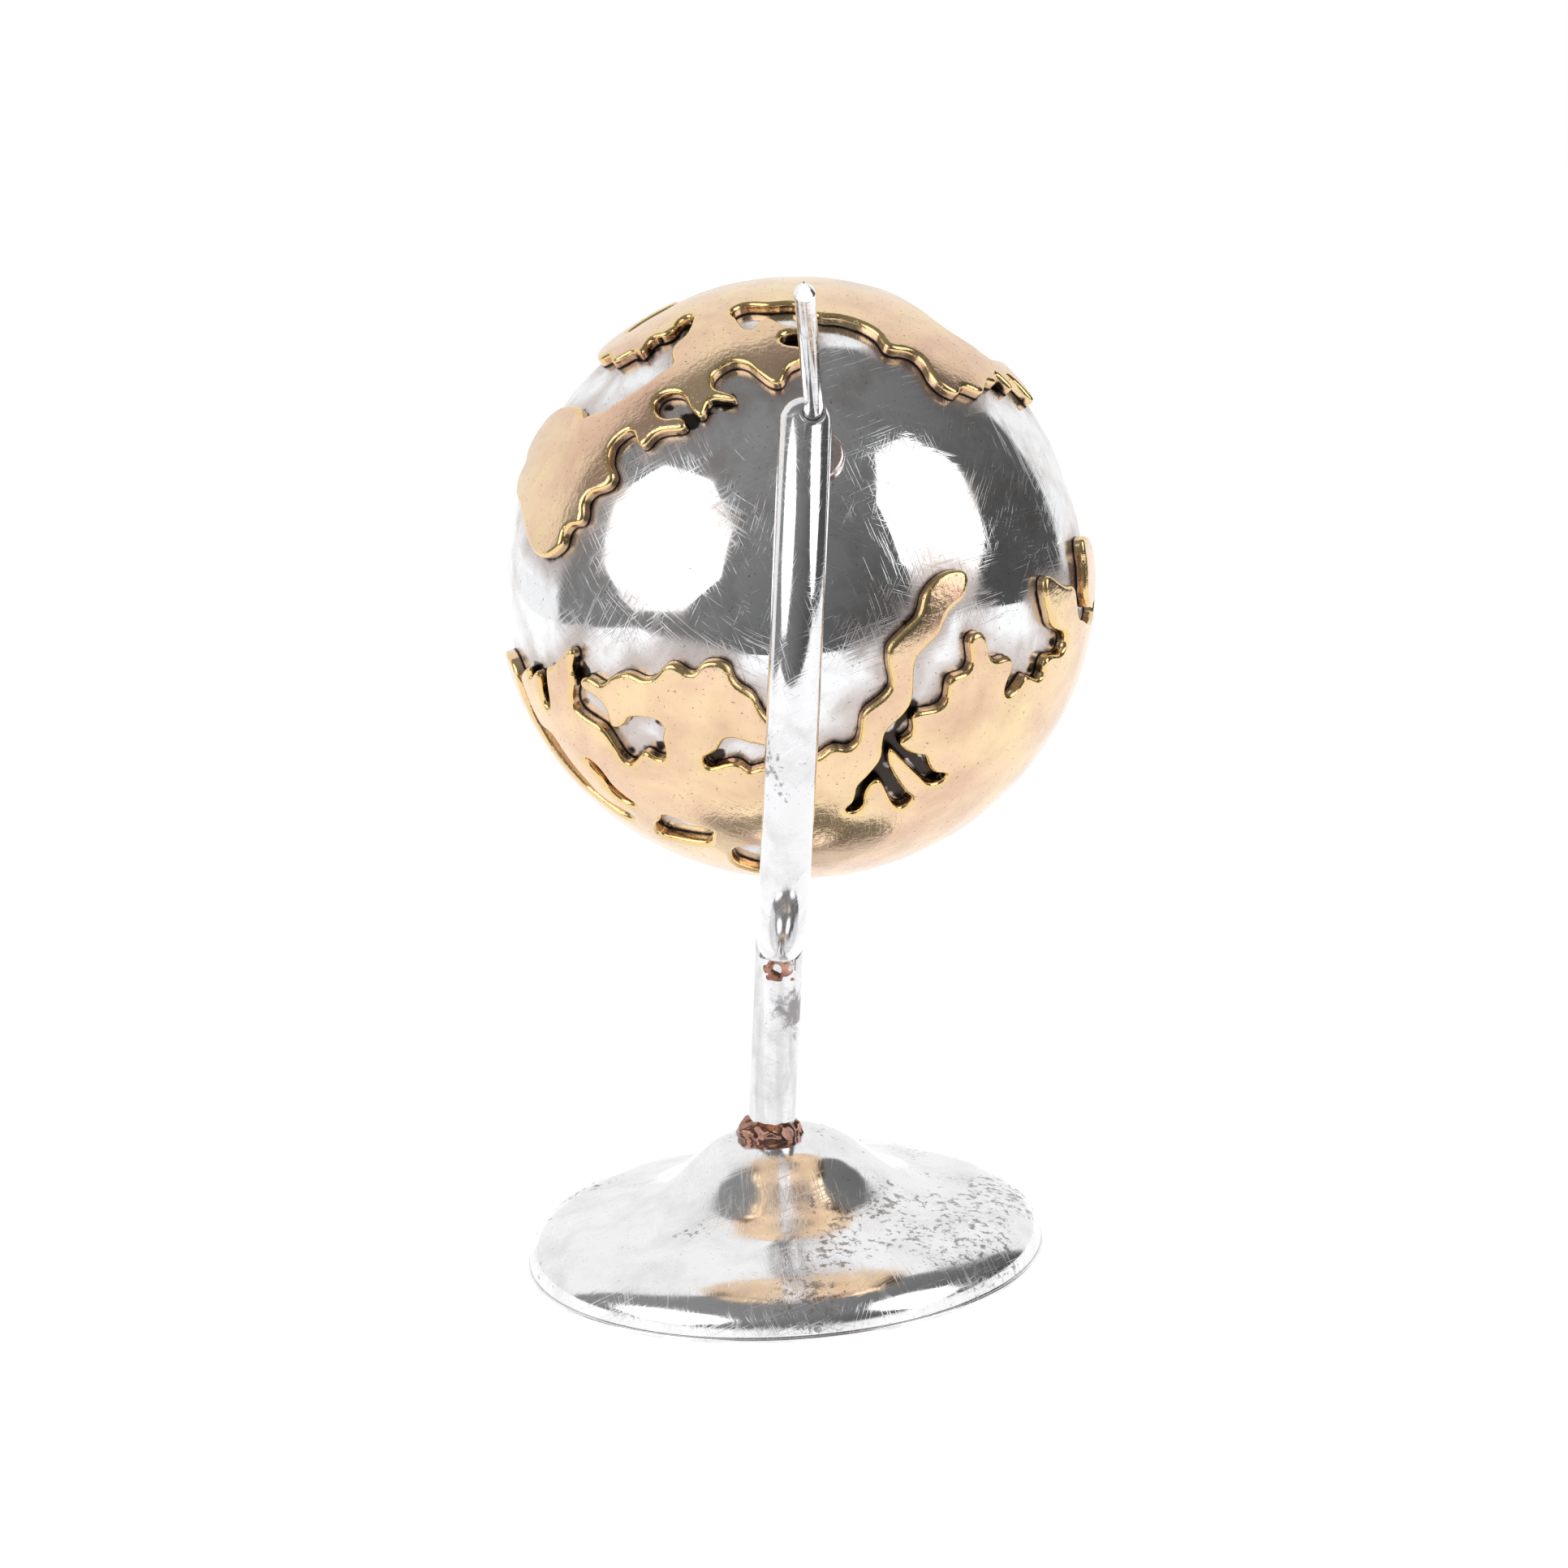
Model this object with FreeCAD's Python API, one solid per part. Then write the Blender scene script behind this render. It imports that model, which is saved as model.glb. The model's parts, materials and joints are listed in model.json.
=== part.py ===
"""Desk globe: a silvered ball with raised brass land, turning in a C-shaped arm on a bell foot.

Millimetres. The origin is the centre of the foot's underside, +Z is up, and the arm
curves round the ball on the -Y side. Stem, arm and ball lean sideways as one.
"""
import FreeCAD
import Part
import math
import os
from FreeCAD import Rotation, Vector

# ---------------------------------------------------------------- driving dimensions
# Foot: a spun bell closed by a thin disc.
FOOT_RADIUS = 27.75
FOOT_HEIGHT = 13.0
FOOT_SHEET = 0.9
PLATE_THICKNESS = 0.5
PLATE_LIP = 0.2
# The bell's outline from top to rim, as shares of the foot's radius and of its height.
BELL_OUTLINE = [
    (0.19, 0.985), (0.27, 0.915), (0.34, 0.80), (0.41, 0.665), (0.48, 0.555), (0.56, 0.48),
    (0.65, 0.435), (0.75, 0.395), (0.84, 0.35), (0.91, 0.29), (0.96, 0.215), (0.99, 0.12),
]

# Stem: a plain tube that leans towards +X.
STEM_DIAMETER = 5.1
STEM_WALL = 1.0
STEM_HEIGHT = 20.5          # from the top of the foot to the outside of the arm's bend
STEM_LEAN = 5.55            # degrees
STEM_OFFSET = -0.83         # the stem stands this far off the foot's centre, along X
SADDLE_LIFT = 1.5           # how far the stem's notched top reaches up the arm's sides

# Arm: a round bar bent to a half circle round the ball.
BAR_DIAMETER = 5.0
ARM_GAP = 5.0               # from the ball's skin to the inside of the arm
ARM_YAW = -0.7              # degrees, the arm is brazed on slightly round

# Ball: two spun half shells.
BALL_RADIUS = 30.0
BALL_SHEET = 0.8

# Axle: a thin rod through both ends of the arm.
AXLE_DIAMETER = 1.85
AXLE_ELEVATION = 31.2       # degrees above level, towards -Y
AXLE_SKEW = 0.9             # degrees out of the arm's plane, towards +X
AXLE_FREE_END = 24.3        # how far it stands out past the arm's upper end
AXLE_BEND = 4.6             # degrees, the free end is bent over towards -X
BEND_RADIUS = 12.0
HEAD_DIAMETER = 3.2
HEAD_HEIGHT = 0.7

# Bushes in the arm's ends, and the pieces on the axle.
BUSH_DIAMETER = 2.5
BUSH_PROUD = 0.15
RUNNING_CLEARANCE = 0.05    # radial, axle in bush
END_PLAY = 0.1
WASHER_DIAMETER = 5.2
WASHER_THICKNESS = 1.2
WASHER_OFFSET = 0.9         # it is soldered on off the axle's middle, towards +X
SLEEVE_DIAMETER = 2.8

# Braze at the two ends of the stem.
LOWER_BRAZE_RADIUS = 3.7
LOWER_BRAZE_HEIGHT = 2.6
LOWER_BRAZE_TOE = 0.45      # thickness at its outer edge, so that no side of it is buried
UPPER_BRAZE_FILM = 0.2
UPPER_BRAZE_LENGTH = 2.6
UPPER_BRAZE_DROP = 0.1       # its upper edge is this far under the arm's outside

# Land: brass sheet cut to outline and soldered on the ball.
LAND_THICKNESS = 1.2
MAP_ELEVATION = 30.5        # degrees above level, the map's upper pole, towards -Y
COAST_STEPS = 2             # straight facets between two points of a coast

# ---------------------------------------------------------------- worked out from them
BAR_RADIUS = BAR_DIAMETER / 2
STEM_RADIUS = STEM_DIAMETER / 2
AXLE_RADIUS = AXLE_DIAMETER / 2
ARM_INSIDE = BALL_RADIUS + ARM_GAP
ARM_RADIUS = ARM_INSIDE + BAR_RADIUS
ARM_OUTSIDE = ARM_INSIDE + BAR_DIAMETER
BALL_HEIGHT = STEM_HEIGHT + ARM_OUTSIDE
BUSH_INNER = ARM_INSIDE - BUSH_PROUD
BUSH_OUTER = ARM_OUTSIDE + BUSH_PROUD
WASHER_TOP = BALL_RADIUS + WASHER_THICKNESS
STEM_FOOT = Vector(STEM_OFFSET, 0, FOOT_HEIGHT)
X_AXIS = Vector(1, 0, 0)
Y_AXIS = Vector(0, 1, 0)
Z_AXIS = Vector(0, 0, 1)

# ---------------------------------------------------------------- the map
# Each coast is a loop of (longitude, latitude) in degrees. Latitude 90 is the map's
# upper pole. Longitude 0 runs from that pole down the arm's side of the ball, and
# longitude grows towards +X. A land is its coast, its lakes and a point on dry land.
UPPER_LAND_COAST = [
    (-80.4, 30), (-77.3, 33), (-76.4, 35.8), (-76.8, 39), (-79.7, 40.3), (-80.5, 42.5),
    (-79.3, 44.6), (-81.7, 46), (-84.8, 46), (-86.7, 48), (-86.3, 51), (-87.5, 52.8),
    (-90.3, 53.4), (-93, 52.5), (-95.7, 51.7), (-98.6, 51.7), (-100.8, 52), (-103.5, 53.7),
    (-105, 55.6), (-100.6, 57.3), (-98.2, 58.5), (-99, 59.6), (-103, 60.7), (-105, 63),
    (-105.5, 65.2), (-107.5, 66.8), (-111.5, 65.7), (-112, 64), (-110.3, 61.7),
    (-113, 58.9), (-116.4, 57.8), (-119.8, 58.5), (-122, 60.7), (-121.8, 63),
    (-118.6, 64.9), (-114.8, 67.3), (-114.5, 69), (-119, 68.6), (-125, 68), (-127, 69),
    (-130, 71.3), (-133, 72.6), (-134, 70.8), (-131, 67.6), (-132.5, 65.8), (-136, 64.3),
    (-140.3, 64.2), (-145.5, 64.2), (-150.5, 66.3), (-152, 68.9), (-154, 71.3),
    (-157, 73.3), (-163, 73.9), (-167, 71.8), (-170.7, 70), (-175, 69.5), (-179, 68),
    (-178, 66), (-175, 65), (-169.6, 64.4), (-168.4, 62.5), (-171, 61), (-175.6, 61),
    (-179, 61.5), (-180, 60.3), (-177, 59.6), (-174.5, 59.2), (-171.6, 58.8),
    (-168.6, 56.3), (-166.2, 54.8), (-163, 56), (-160.5, 57.8), (-158.5, 57.5),
    (-157.6, 55.5), (-157.6, 52), (-157.3, 49), (-162.3, 47.6), (-167, 49.6),
    (-170, 50.2), (-175.5, 50.3), (-179.5, 52.5), (177.7, 55.2), (170.8, 54.6),
    (166.6, 54.8), (162.5, 55), (160, 55.5), (156, 56.5), (151.5, 59), (147.8, 57.8),
    (145.5, 56.5), (142.3, 55.8), (138, 56.3), (132.5, 57.8), (127, 57.3), (123.3, 55),
    (126.1, 52.6), (124.4, 50.5), (122.6, 48), (126.6, 44), (125.4, 41), (129.2, 38.5),
    (123.5, 36), (129, 33.5), (126, 30), (121.8, 27), (128, 25.5), (133.5, 28),
    (133.5, 35), (138, 36.5), (142, 38.2), (147, 38.3), (152, 36), (158, 32.5),
    (164, 27), (171, 22), (176, 14), (-178, 9), (-171, 11), (-167, 4), (-159, 2),
    (-155, 9), (-158, 16), (-162, 23), (-158.5, 28), (-154.3, 29.3), (-148, 31.3),
    (-146, 32), (-141.5, 31.3), (-138, 31), (-137.6, 29), (-142, 28.5), (-147, 29),
    (-152, 26.5), (-149, 20), (-142, 17), (-136, 20), (-131, 25), (-128.2, 30.8),
    (-130.3, 34), (-127.2, 37.6), (-129.3, 40), (-131.6, 41.5), (-131.2, 44.7),
    (-134.8, 43.3), (-137.8, 42.7), (-139, 44.8), (-142.3, 45.2), (-144, 43.6),
    (-147.4, 42.6), (-148.9, 44), (-146, 47.6), (-142, 50.2), (-138.2, 50.4),
    (-134.6, 52.2), (-132.3, 55), (-129.5, 55.2), (-127, 54.3), (-121.2, 53), (-116, 50),
    (-111.7, 46.5), (-111, 43.2), (-109.8, 41), (-113, 38.8), (-114.5, 35), (-115, 29),
    (-113, 24), (-107, 20.5), (-103.5, 22.5), (-101.5, 20.5), (-97, 21), (-92.5, 25),
    (-86.8, 27.5),
]
UPPER_LAND_DRY = (-120, 56)

LOWER_LAND_COAST = [
    (-64, 8.6), (-62.5, 14.5), (-61, 12.5), (-60.5, 17), (-58, 15.2), (-55.8, 12.4),
    (-53.6, 12.6), (-55, 16), (-58.8, 21), (-57.8, 22.5), (-57.2, 26), (-56.8, 30.6),
    (-54.8, 30.6), (-53.6, 27.5), (-51.8, 26.6), (-50.8, 24.5), (-49.8, 21.8), (-48, 20.8),
    (-44.6, 21.6), (-41.4, 22.6), (-38.9, 21.4), (-36.8, 20.2), (-35, 19), (-32.9, 19.1),
    (-32, 22.3), (-31, 24.8), (-28.3, 24.5), (-26.5, 25.7), (-27.6, 28.7), (-28.7, 30),
    (-28.8, 32.4), (-31, 33.2), (-33, 32.4), (-35.5, 31), (-37, 29.5), (-37, 27.6),
    (-38.4, 25.4), (-39.8, 24.8), (-41.5, 27), (-43.8, 28.2), (-47, 27.4), (-49.3, 26.6),
    (-50.7, 28.2), (-48.8, 30.3), (-45.8, 31), (-45, 34.3), (-42.5, 37.5), (-40, 38.4),
    (-37.8, 38.8), (-35.8, 41), (-35.5, 43), (-34.6, 44.8), (-32.5, 45.5), (-30, 45.3),
    (-27.4, 45.5), (-27, 48), (-25, 49.2), (-22.6, 50), (-20.4, 50), (-18.7, 49.4),
    (-17.4, 47.7), (-15, 46.6), (-13, 46.4), (-10.5, 45.4), (-9.3, 43.8), (-7.8, 42.4),
    (-4, 39.5), (-1, 36.5), (2, 34), (5, 33.6), (7.2, 35.2), (9.5, 35.9), (11.3, 35),
    (13.5, 35.6), (14.6, 37.3), (15.2, 39.5), (15.7, 41.2), (17.3, 42.6), (20.6, 43.6),
    (23.5, 44.7), (25, 46), (25.1, 48.5), (25.7, 50.8), (27, 52.8), (29.7, 53.7),
    (34.8, 54.6), (39.3, 55), (42.3, 56.2), (45.5, 57.7), (52, 58.2), (57, 57.2),
    (60, 55.7), (61.2, 54), (58.5, 52.4), (54.5, 51.4), (49.3, 52), (46, 51.1),
    (42.5, 49.8), (39, 49.5), (34.5, 48.8), (32.3, 47.4), (31, 45.3), (29.7, 42.7),
    (28.6, 41), (27, 39.8), (24.5, 38.6), (22, 37.8), (20.4, 36.4), (19.6, 34),
    (19, 31.5), (17.3, 29.7), (15, 27.5), (13.4, 26.2), (13, 24), (12.2, 21.5),
    (10.8, 20.6), (10.9, 19.2), (12.8, 18.9), (14.2, 20.5), (14.3, 22.9), (15.4, 25.4),
    (17.6, 26.8), (18.8, 24.3), (19.5, 21.2), (20.3, 18.5), (21.6, 16.6), (23.6, 17.4),
    (24.1, 18.9), (23, 20.5), (21.6, 24.3), (20.6, 27.5), (20.1, 30), (20.3, 32),
    (21.2, 33.3), (22.8, 30.6), (24.7, 26.9), (26.5, 23.2), (27.5, 20.9), (29.3, 19.8),
    (31.3, 19.6), (31.8, 21.3), (29.9, 22.4), (28.7, 24.3), (28.3, 26.8), (28.2, 28.5),
    (26.3, 29.5), (24.3, 31.3), (23.1, 33.8), (25.9, 34.3), (27, 35.4), (27.2, 37.8),
    (28.4, 38.5), (31.3, 37.8), (33.8, 37), (36.2, 37.3), (37.4, 38.8), (38.6, 40.5),
    (40.2, 41.2), (43.6, 40), (46, 40.7), (47.5, 43.3), (48.9, 45), (50.6, 45.1),
    (52.4, 44.4), (53, 42.7), (51.4, 40.2), (51, 38.4), (51.8, 37), (55.2, 35.2),
    (55, 33.2), (52.8, 31.8), (50.6, 30.8), (49.6, 29.2), (50.5, 28.1), (52.4, 27.7),
    (54.8, 28), (56.3, 28.3), (57.3, 26.2), (58.9, 23.4), (60.4, 24), (62, 25.6),
    (64.2, 24.6), (66.2, 21.7), (67.7, 20.8), (69.8, 21.8), (70.2, 23.6), (68.7, 27),
    (68.5, 29.3), (69.5, 30.8), (71, 33.5), (73.6, 35.7), (75.7, 36.3), (77, 34.8),
    (77.3, 32.5), (78.2, 28.4), (80, 25.4), (78.2, 22.8), (76, 19.3), (77.3, 15.5),
    (79.5, 9), (85, 3), (92, 4), (96, -3), (92, -11), (97, -19), (105, -23), (104, -30),
    (95, -33), (90, -41), (80, -45), (76, -53), (62, -57), (48, -53), (40, -60),
    (22, -63), (6, -57), (-4, -49), (-12, -54), (-27, -56), (-36, -48), (-47, -50),
    (-55, -43), (-52, -34), (-60, -28), (-69, -30), (-74, -20), (-70, -12), (-74, -5),
    (-71, 3), (-66.5, 5.2), (-62.8, 3.2), (-59.6, 1), (-56.2, -0.6), (-53, -2),
    (-50.5, -2.4), (-45.5, -3.2), (-42, -3.8), (-38.5, -3.4), (-35.5, -3.2), (-32.8, -2.6),
    (-30.4, -0.8), (-29.8, 1), (-32, 1.6), (-35.7, 0.4), (-38.8, 0.3), (-41.2, 2),
    (-44.5, 3), (-49.3, 5.2), (-51.3, 6), (-53.4, 4.4), (-54.7, 3.4), (-58, 4.4),
    (-61.3, 6.4),
]
LOWER_LAND_LAKES = [
    [
        (-18.9, 30), (-16.4, 32.5), (-16.2, 34.4), (-14.8, 36), (-12.5, 36.3), (-9.9, 36),
        (-6.7, 36), (-3.2, 34.8), (-3.2, 32.2), (-6, 31), (-7.8, 30.4), (-9, 29.3),
        (-10.5, 30.6), (-12.6, 30.9), (-14.2, 30), (-16.3, 28.6), (-17.4, 27.6),
        (-18.6, 28.5),
    ],
    [
        (-24.3, 9.2), (-21.3, 9.8), (-16.8, 10.3), (-14.2, 10.2), (-14.6, 8),
        (-14.4, 4.6), (-17.4, 2.5), (-22, 0), (-24.6, -1.4), (-25.5, 3), (-24.6, 6),
    ],
    [
        (-9.6, 5.5), (-5, 8), (-1.8, 6), (-1.8, -5), (-4.5, -8), (-9, -5), (-10.2, 0.5),
    ],
    [
        (-42.7, 10), (-41, 11.6), (-38.2, 11), (-35.8, 9), (-33.5, 8.2), (-31.6, 7.8),
        (-29.4, 7.6), (-31.8, 5.5), (-33.7, 5.4), (-36, 5.7), (-38.2, 7.6), (-40.4, 8.8),
    ],
]
LOWER_LAND_DRY = (-20, 20)

RIGHT_ISLE_COAST = [
    (91, 23.5), (87, 21), (84, 19.3), (81.5, 17.5), (80.8, 14), (83, 9.5), (87, 7.5),
    (92, 10.5), (94, 18),
]
RIGHT_ISLE_DRY = (87, 14)

FAR_LAND_COAST = [
    (-132, -3), (-123, -2), (-114, -6), (-106, -8), (-98, -12), (-92, -13), (-86, -17),
    (-85, -23), (-91, -26), (-89, -31), (-95, -36), (-104, -38), (-107, -44),
    (-116, -49), (-121, -42), (-119, -34), (-126, -28), (-136, -24), (-139, -16),
    (-135, -9),
]
FAR_LAND_LAKES = [
    [(-108, -15), (-102, -15), (-100, -20), (-105, -24), (-110, -21)],
]
FAR_LAND_DRY = (-120, -16)

TAIL_LAND_COAST = [
    (118, -4), (124, -1), (131, 0), (138, 2), (146, 3), (155, 4), (160, -2), (156, -10),
    (160, -18), (152, -25), (150, -35), (143, -42), (137, -48), (133, -41), (135, -32),
    (128, -28), (125, -22), (118, -19), (112, -13), (113, -8),
]
TAIL_LAND_DRY = (138, -12)

SMALL_ISLES = {
    "land_isle_far_north": [
        (-169, -8), (-164, -5), (-160, -9), (-154, -8), (-151, -13), (-155, -16),
        (-154, -21), (-160, -20), (-165, -24), (-170, -19), (-167, -14),
    ],
    "land_isle_far_south": [
        (175, -28), (-179, -31), (-174, -28), (-169, -33), (-172, -38), (-178, -40),
        (-176, -46), (177, -45), (173, -39), (177, -34),
    ],
    "land_isle_strait": [
        (166, -3), (171, -3), (174, 2), (178, 0), (177, -5), (180, -10), (175, -12),
        (172, -9), (167, -8),
    ],
    "land_isle_low": [
        (-152, -36), (-147, -33), (-144, -37), (-138, -36), (-137, -42), (-142, -45),
        (-141, -51), (-148, -51), (-151, -46), (-156, -43),
    ],
}
ISLE_DRY = {
    "land_isle_far_north": (-162, -14),
    "land_isle_far_south": (179, -35),
    "land_isle_strait": (173, -5),
    "land_isle_low": (-146, -42),
}


# ---------------------------------------------------------------- frames and directions
def lean(shape):
    """Tip a shape that was built on an upright stem axis into its leaning place."""
    shape.rotate(Vector(0, 0, 0), Y_AXIS, STEM_LEAN)
    shape.translate(STEM_FOOT)
    return shape


def ball_centre():
    return Vector(0, 0, BALL_HEIGHT)


def pole_direction(elevation):
    """The way that an upper pole points, in the stem's upright frame."""
    tilt = math.radians(elevation)
    return Vector(0, -math.cos(tilt), math.sin(tilt))


def axle_direction():
    in_plane = pole_direction(AXLE_ELEVATION)
    sideways = math.radians(AXLE_SKEW)
    skewed = in_plane * math.cos(sideways) + X_AXIS * math.sin(sideways)
    return Rotation(Z_AXIS, ARM_YAW).multVec(skewed)


def across_axle():
    """The way at right angles to the axle that is nearest to +X."""
    along = axle_direction()
    across = X_AXIS - along * along.dot(X_AXIS)
    across.normalize()
    return across


def on_axle(distance):
    return ball_centre() + axle_direction() * distance


def rod(radius, start, end):
    """A round rod along the axle, between two distances from the ball's centre."""
    return Part.makeCylinder(radius, end - start, on_axle(start), axle_direction())


def map_direction(place):
    longitude = math.radians(place[0])
    latitude = math.radians(place[1])
    pole = pole_direction(MAP_ELEVATION)
    front = Vector(0, pole.y, pole.z).cross(X_AXIS) * -1
    around = front * math.cos(longitude) + X_AXIS * math.sin(longitude)
    return pole * math.sin(latitude) + around * math.cos(latitude)


# ---------------------------------------------------------------- foot
def foot_section(inset):
    """The bell's outline from its top centre down to the rim, moved inwards by inset."""
    rise = FOOT_HEIGHT - PLATE_THICKNESS
    points = [Vector(0, 0, FOOT_HEIGHT - inset)]
    for across, up in BELL_OUTLINE:
        points.append(Vector(FOOT_RADIUS * across, 0, PLATE_THICKNESS + rise * up))
    points.append(Vector(FOOT_RADIUS, 0, PLATE_THICKNESS))
    if inset:
        curve = Part.BSplineCurve()
        curve.interpolate([points[0] + Vector(0, 0, inset)] + points[1:])
        moved = [points[0]]
        for point in points[1:-1]:
            slope = curve.tangent(curve.parameter(point))[0]
            moved.append(point + Vector(slope.z, 0, -slope.x) * inset)
        moved.append(Vector(FOOT_RADIUS - inset, 0, PLATE_THICKNESS))
        points = moved
    curve = Part.BSplineCurve()
    curve.interpolate(Points=points, InitialTangent=X_AXIS, FinalTangent=Vector(0, 0, -1))
    return curve.toShape()


def bell(inset):
    """The solid under a bell outline."""
    outline = foot_section(inset)
    top = outline.Vertexes[0].Point
    rim = outline.Vertexes[-1].Point
    middle = Vector(0, 0, PLATE_THICKNESS)
    base = Part.makeLine(rim, middle)
    axis = Part.makeLine(middle, top)
    face = Part.Face(Part.Wire([outline, base, axis]))
    return face.revolve(Vector(0, 0, 0), Z_AXIS, 360)


def foot_shell():
    return bell(0).cut(bell(FOOT_SHEET))


def foot_plate():
    disc = Part.makeCylinder(FOOT_RADIUS + PLATE_LIP, PLATE_THICKNESS)
    edges = [edge for edge in disc.Edges if edge.Closed]
    return disc.makeFillet(PLATE_THICKNESS * 0.4, edges)


# ---------------------------------------------------------------- arm and stem
def arm_bar():
    """The plain bent bar with rounded ends, before it is drilled."""
    pole = pole_direction(AXLE_ELEVATION)
    upper = ball_centre() + pole * ARM_RADIUS
    lower = ball_centre() - pole * ARM_RADIUS
    along = pole.cross(X_AXIS)
    section = Part.Face(Part.Wire(Part.makeCircle(BAR_RADIUS, upper, along)))
    bend = section.revolve(ball_centre(), X_AXIS, 180)
    ends = [Part.makeSphere(BAR_RADIUS, upper), Part.makeSphere(BAR_RADIUS, lower)]
    bar = bend.fuse(ends).removeSplitter()
    bar.rotate(ball_centre(), Z_AXIS, ARM_YAW)
    return bar


def meridian_arm():
    bar = arm_bar()
    reach = ARM_OUTSIDE + BAR_RADIUS
    drilled = bar.cut(rod(BUSH_DIAMETER / 2, -reach, reach))
    return lean(drilled)


def arm_bush(side):
    inner = min(side * BUSH_INNER, side * BUSH_OUTER)
    outer = max(side * BUSH_INNER, side * BUSH_OUTER)
    body = rod(BUSH_DIAMETER / 2, inner, outer)
    bore = rod(AXLE_RADIUS + RUNNING_CLEARANCE, inner - 1, outer + 1)
    return lean(body.cut(bore))


def stem_blank(radius, low, high):
    """An upright piece of the stem's axis, seen from the foot's top."""
    return Part.makeCylinder(radius, high - low, Vector(0, 0, low))


def stem_tube():
    top = STEM_HEIGHT + SADDLE_LIFT
    start = -FOOT_SHEET
    tube = stem_blank(STEM_RADIUS, start, top)
    tube = tube.cut(stem_blank(STEM_RADIUS - STEM_WALL, start - 1, top + 1))
    tube = tube.cut(arm_bar())
    return lean(tube).cut(bell(0))


def stem_braze_upper():
    """A thin collar of filler round the stem's top, just under the arm."""
    high = STEM_HEIGHT - UPPER_BRAZE_DROP
    low = high - UPPER_BRAZE_LENGTH
    film = stem_blank(STEM_RADIUS + UPPER_BRAZE_FILM, low, high)
    film = film.cut(stem_blank(STEM_RADIUS, low - 1, high + 1))
    return lean(film.cut(arm_bar()))


def stem_braze_lower():
    """A concave fillet of filler round the stem's foot."""
    inside = Vector(STEM_RADIUS, 0, -FOOT_SHEET)
    top = Vector(STEM_RADIUS, 0, LOWER_BRAZE_HEIGHT)
    waist = Vector(STEM_RADIUS * 1.25, 0, LOWER_BRAZE_HEIGHT * 0.3)
    toe = Vector(LOWER_BRAZE_RADIUS, 0, LOWER_BRAZE_TOE)
    under = Vector(LOWER_BRAZE_RADIUS, 0, -FOOT_SHEET)
    hollow = Part.Arc(top, waist, toe).toShape()
    sides = [hollow, Part.makeLine(toe, under), Part.makeLine(under, inside)]
    sides.append(Part.makeLine(inside, top))
    ring = Part.Face(Part.Wire(sides)).revolve(Vector(0, 0, 0), Z_AXIS, 360)
    return lean(ring).cut(bell(0))


# ---------------------------------------------------------------- axle and its pieces
def axle():
    """The rod: a peened head, a straight run through both bushes, and a bent free end."""
    head_inner = -(BUSH_OUTER + END_PLAY)
    straight = rod(AXLE_RADIUS, head_inner - HEAD_HEIGHT, BUSH_OUTER + 1)
    head = rod(HEAD_DIAMETER / 2, head_inner - HEAD_HEIGHT, head_inner)
    rim = [edge for edge in head.Edges if edge.Closed]
    outermost = max(rim, key=lambda edge: edge.CenterOfMass.distanceToPoint(ball_centre()))
    head = head.makeFillet(HEAD_HEIGHT * 0.6, [outermost])

    direction = axle_direction()
    bend_start = on_axle(BUSH_OUTER + 1)
    hinge = direction.cross(X_AXIS * -1)
    hinge.normalize()
    to_centre = hinge.cross(direction)
    bend_centre = bend_start + to_centre * BEND_RADIUS
    section = Part.Face(Part.Wire(Part.makeCircle(AXLE_RADIUS, bend_start, direction)))
    bend = section.revolve(bend_centre, hinge, AXLE_BEND)
    turn = Rotation(hinge, AXLE_BEND)
    end_start = bend_centre + turn.multVec(bend_start - bend_centre)
    end_direction = turn.multVec(direction)
    end_length = AXLE_FREE_END - 1 - BEND_RADIUS * math.radians(AXLE_BEND)
    free_end = Part.makeCylinder(AXLE_RADIUS, end_length, end_start, end_direction)
    tip = Part.makeSphere(AXLE_RADIUS, end_start + end_direction * end_length)
    whole = straight.fuse([head, bend, free_end, tip]).removeSplitter()
    return lean(whole)


def globe_half(side):
    """One spun half shell of the ball, with its axle hole."""
    shell = Part.makeSphere(BALL_RADIUS, ball_centre())
    shell = shell.cut(Part.makeSphere(BALL_RADIUS - BALL_SHEET, ball_centre()))
    box_side = BALL_RADIUS * 4
    block = Part.makeCylinder(box_side, box_side, ball_centre(), axle_direction() * side)
    half = shell.common(block)
    return lean(half.cut(rod(AXLE_RADIUS, -box_side, box_side)))


def pole_washer(side):
    """A thick washer soldered where the axle enters the ball."""
    low = min(side * (BALL_RADIUS - 1), side * WASHER_TOP)
    high = max(side * (BALL_RADIUS - 1), side * WASHER_TOP)
    disc = rod(WASHER_DIAMETER / 2, low, high)
    disc.translate(across_axle() * WASHER_OFFSET)
    rims = [edge for edge in disc.Edges if edge.Closed]
    top = max(rims, key=lambda edge: edge.CenterOfMass.distanceToPoint(ball_centre()))
    disc = disc.makeFillet(WASHER_THICKNESS * 0.35, [top])
    disc = disc.cut(Part.makeSphere(BALL_RADIUS, ball_centre()))
    return lean(disc.cut(rod(AXLE_RADIUS, low - 1, high + 1)))


def thrust_sleeve():
    """A short tube on the axle that carries the ball on the arm's lower end."""
    outer = -(BUSH_INNER - END_PLAY)
    tube = rod(SLEEVE_DIAMETER / 2, outer, -WASHER_TOP)
    return lean(tube.cut(rod(AXLE_RADIUS, outer - 1, 0)))


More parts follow.
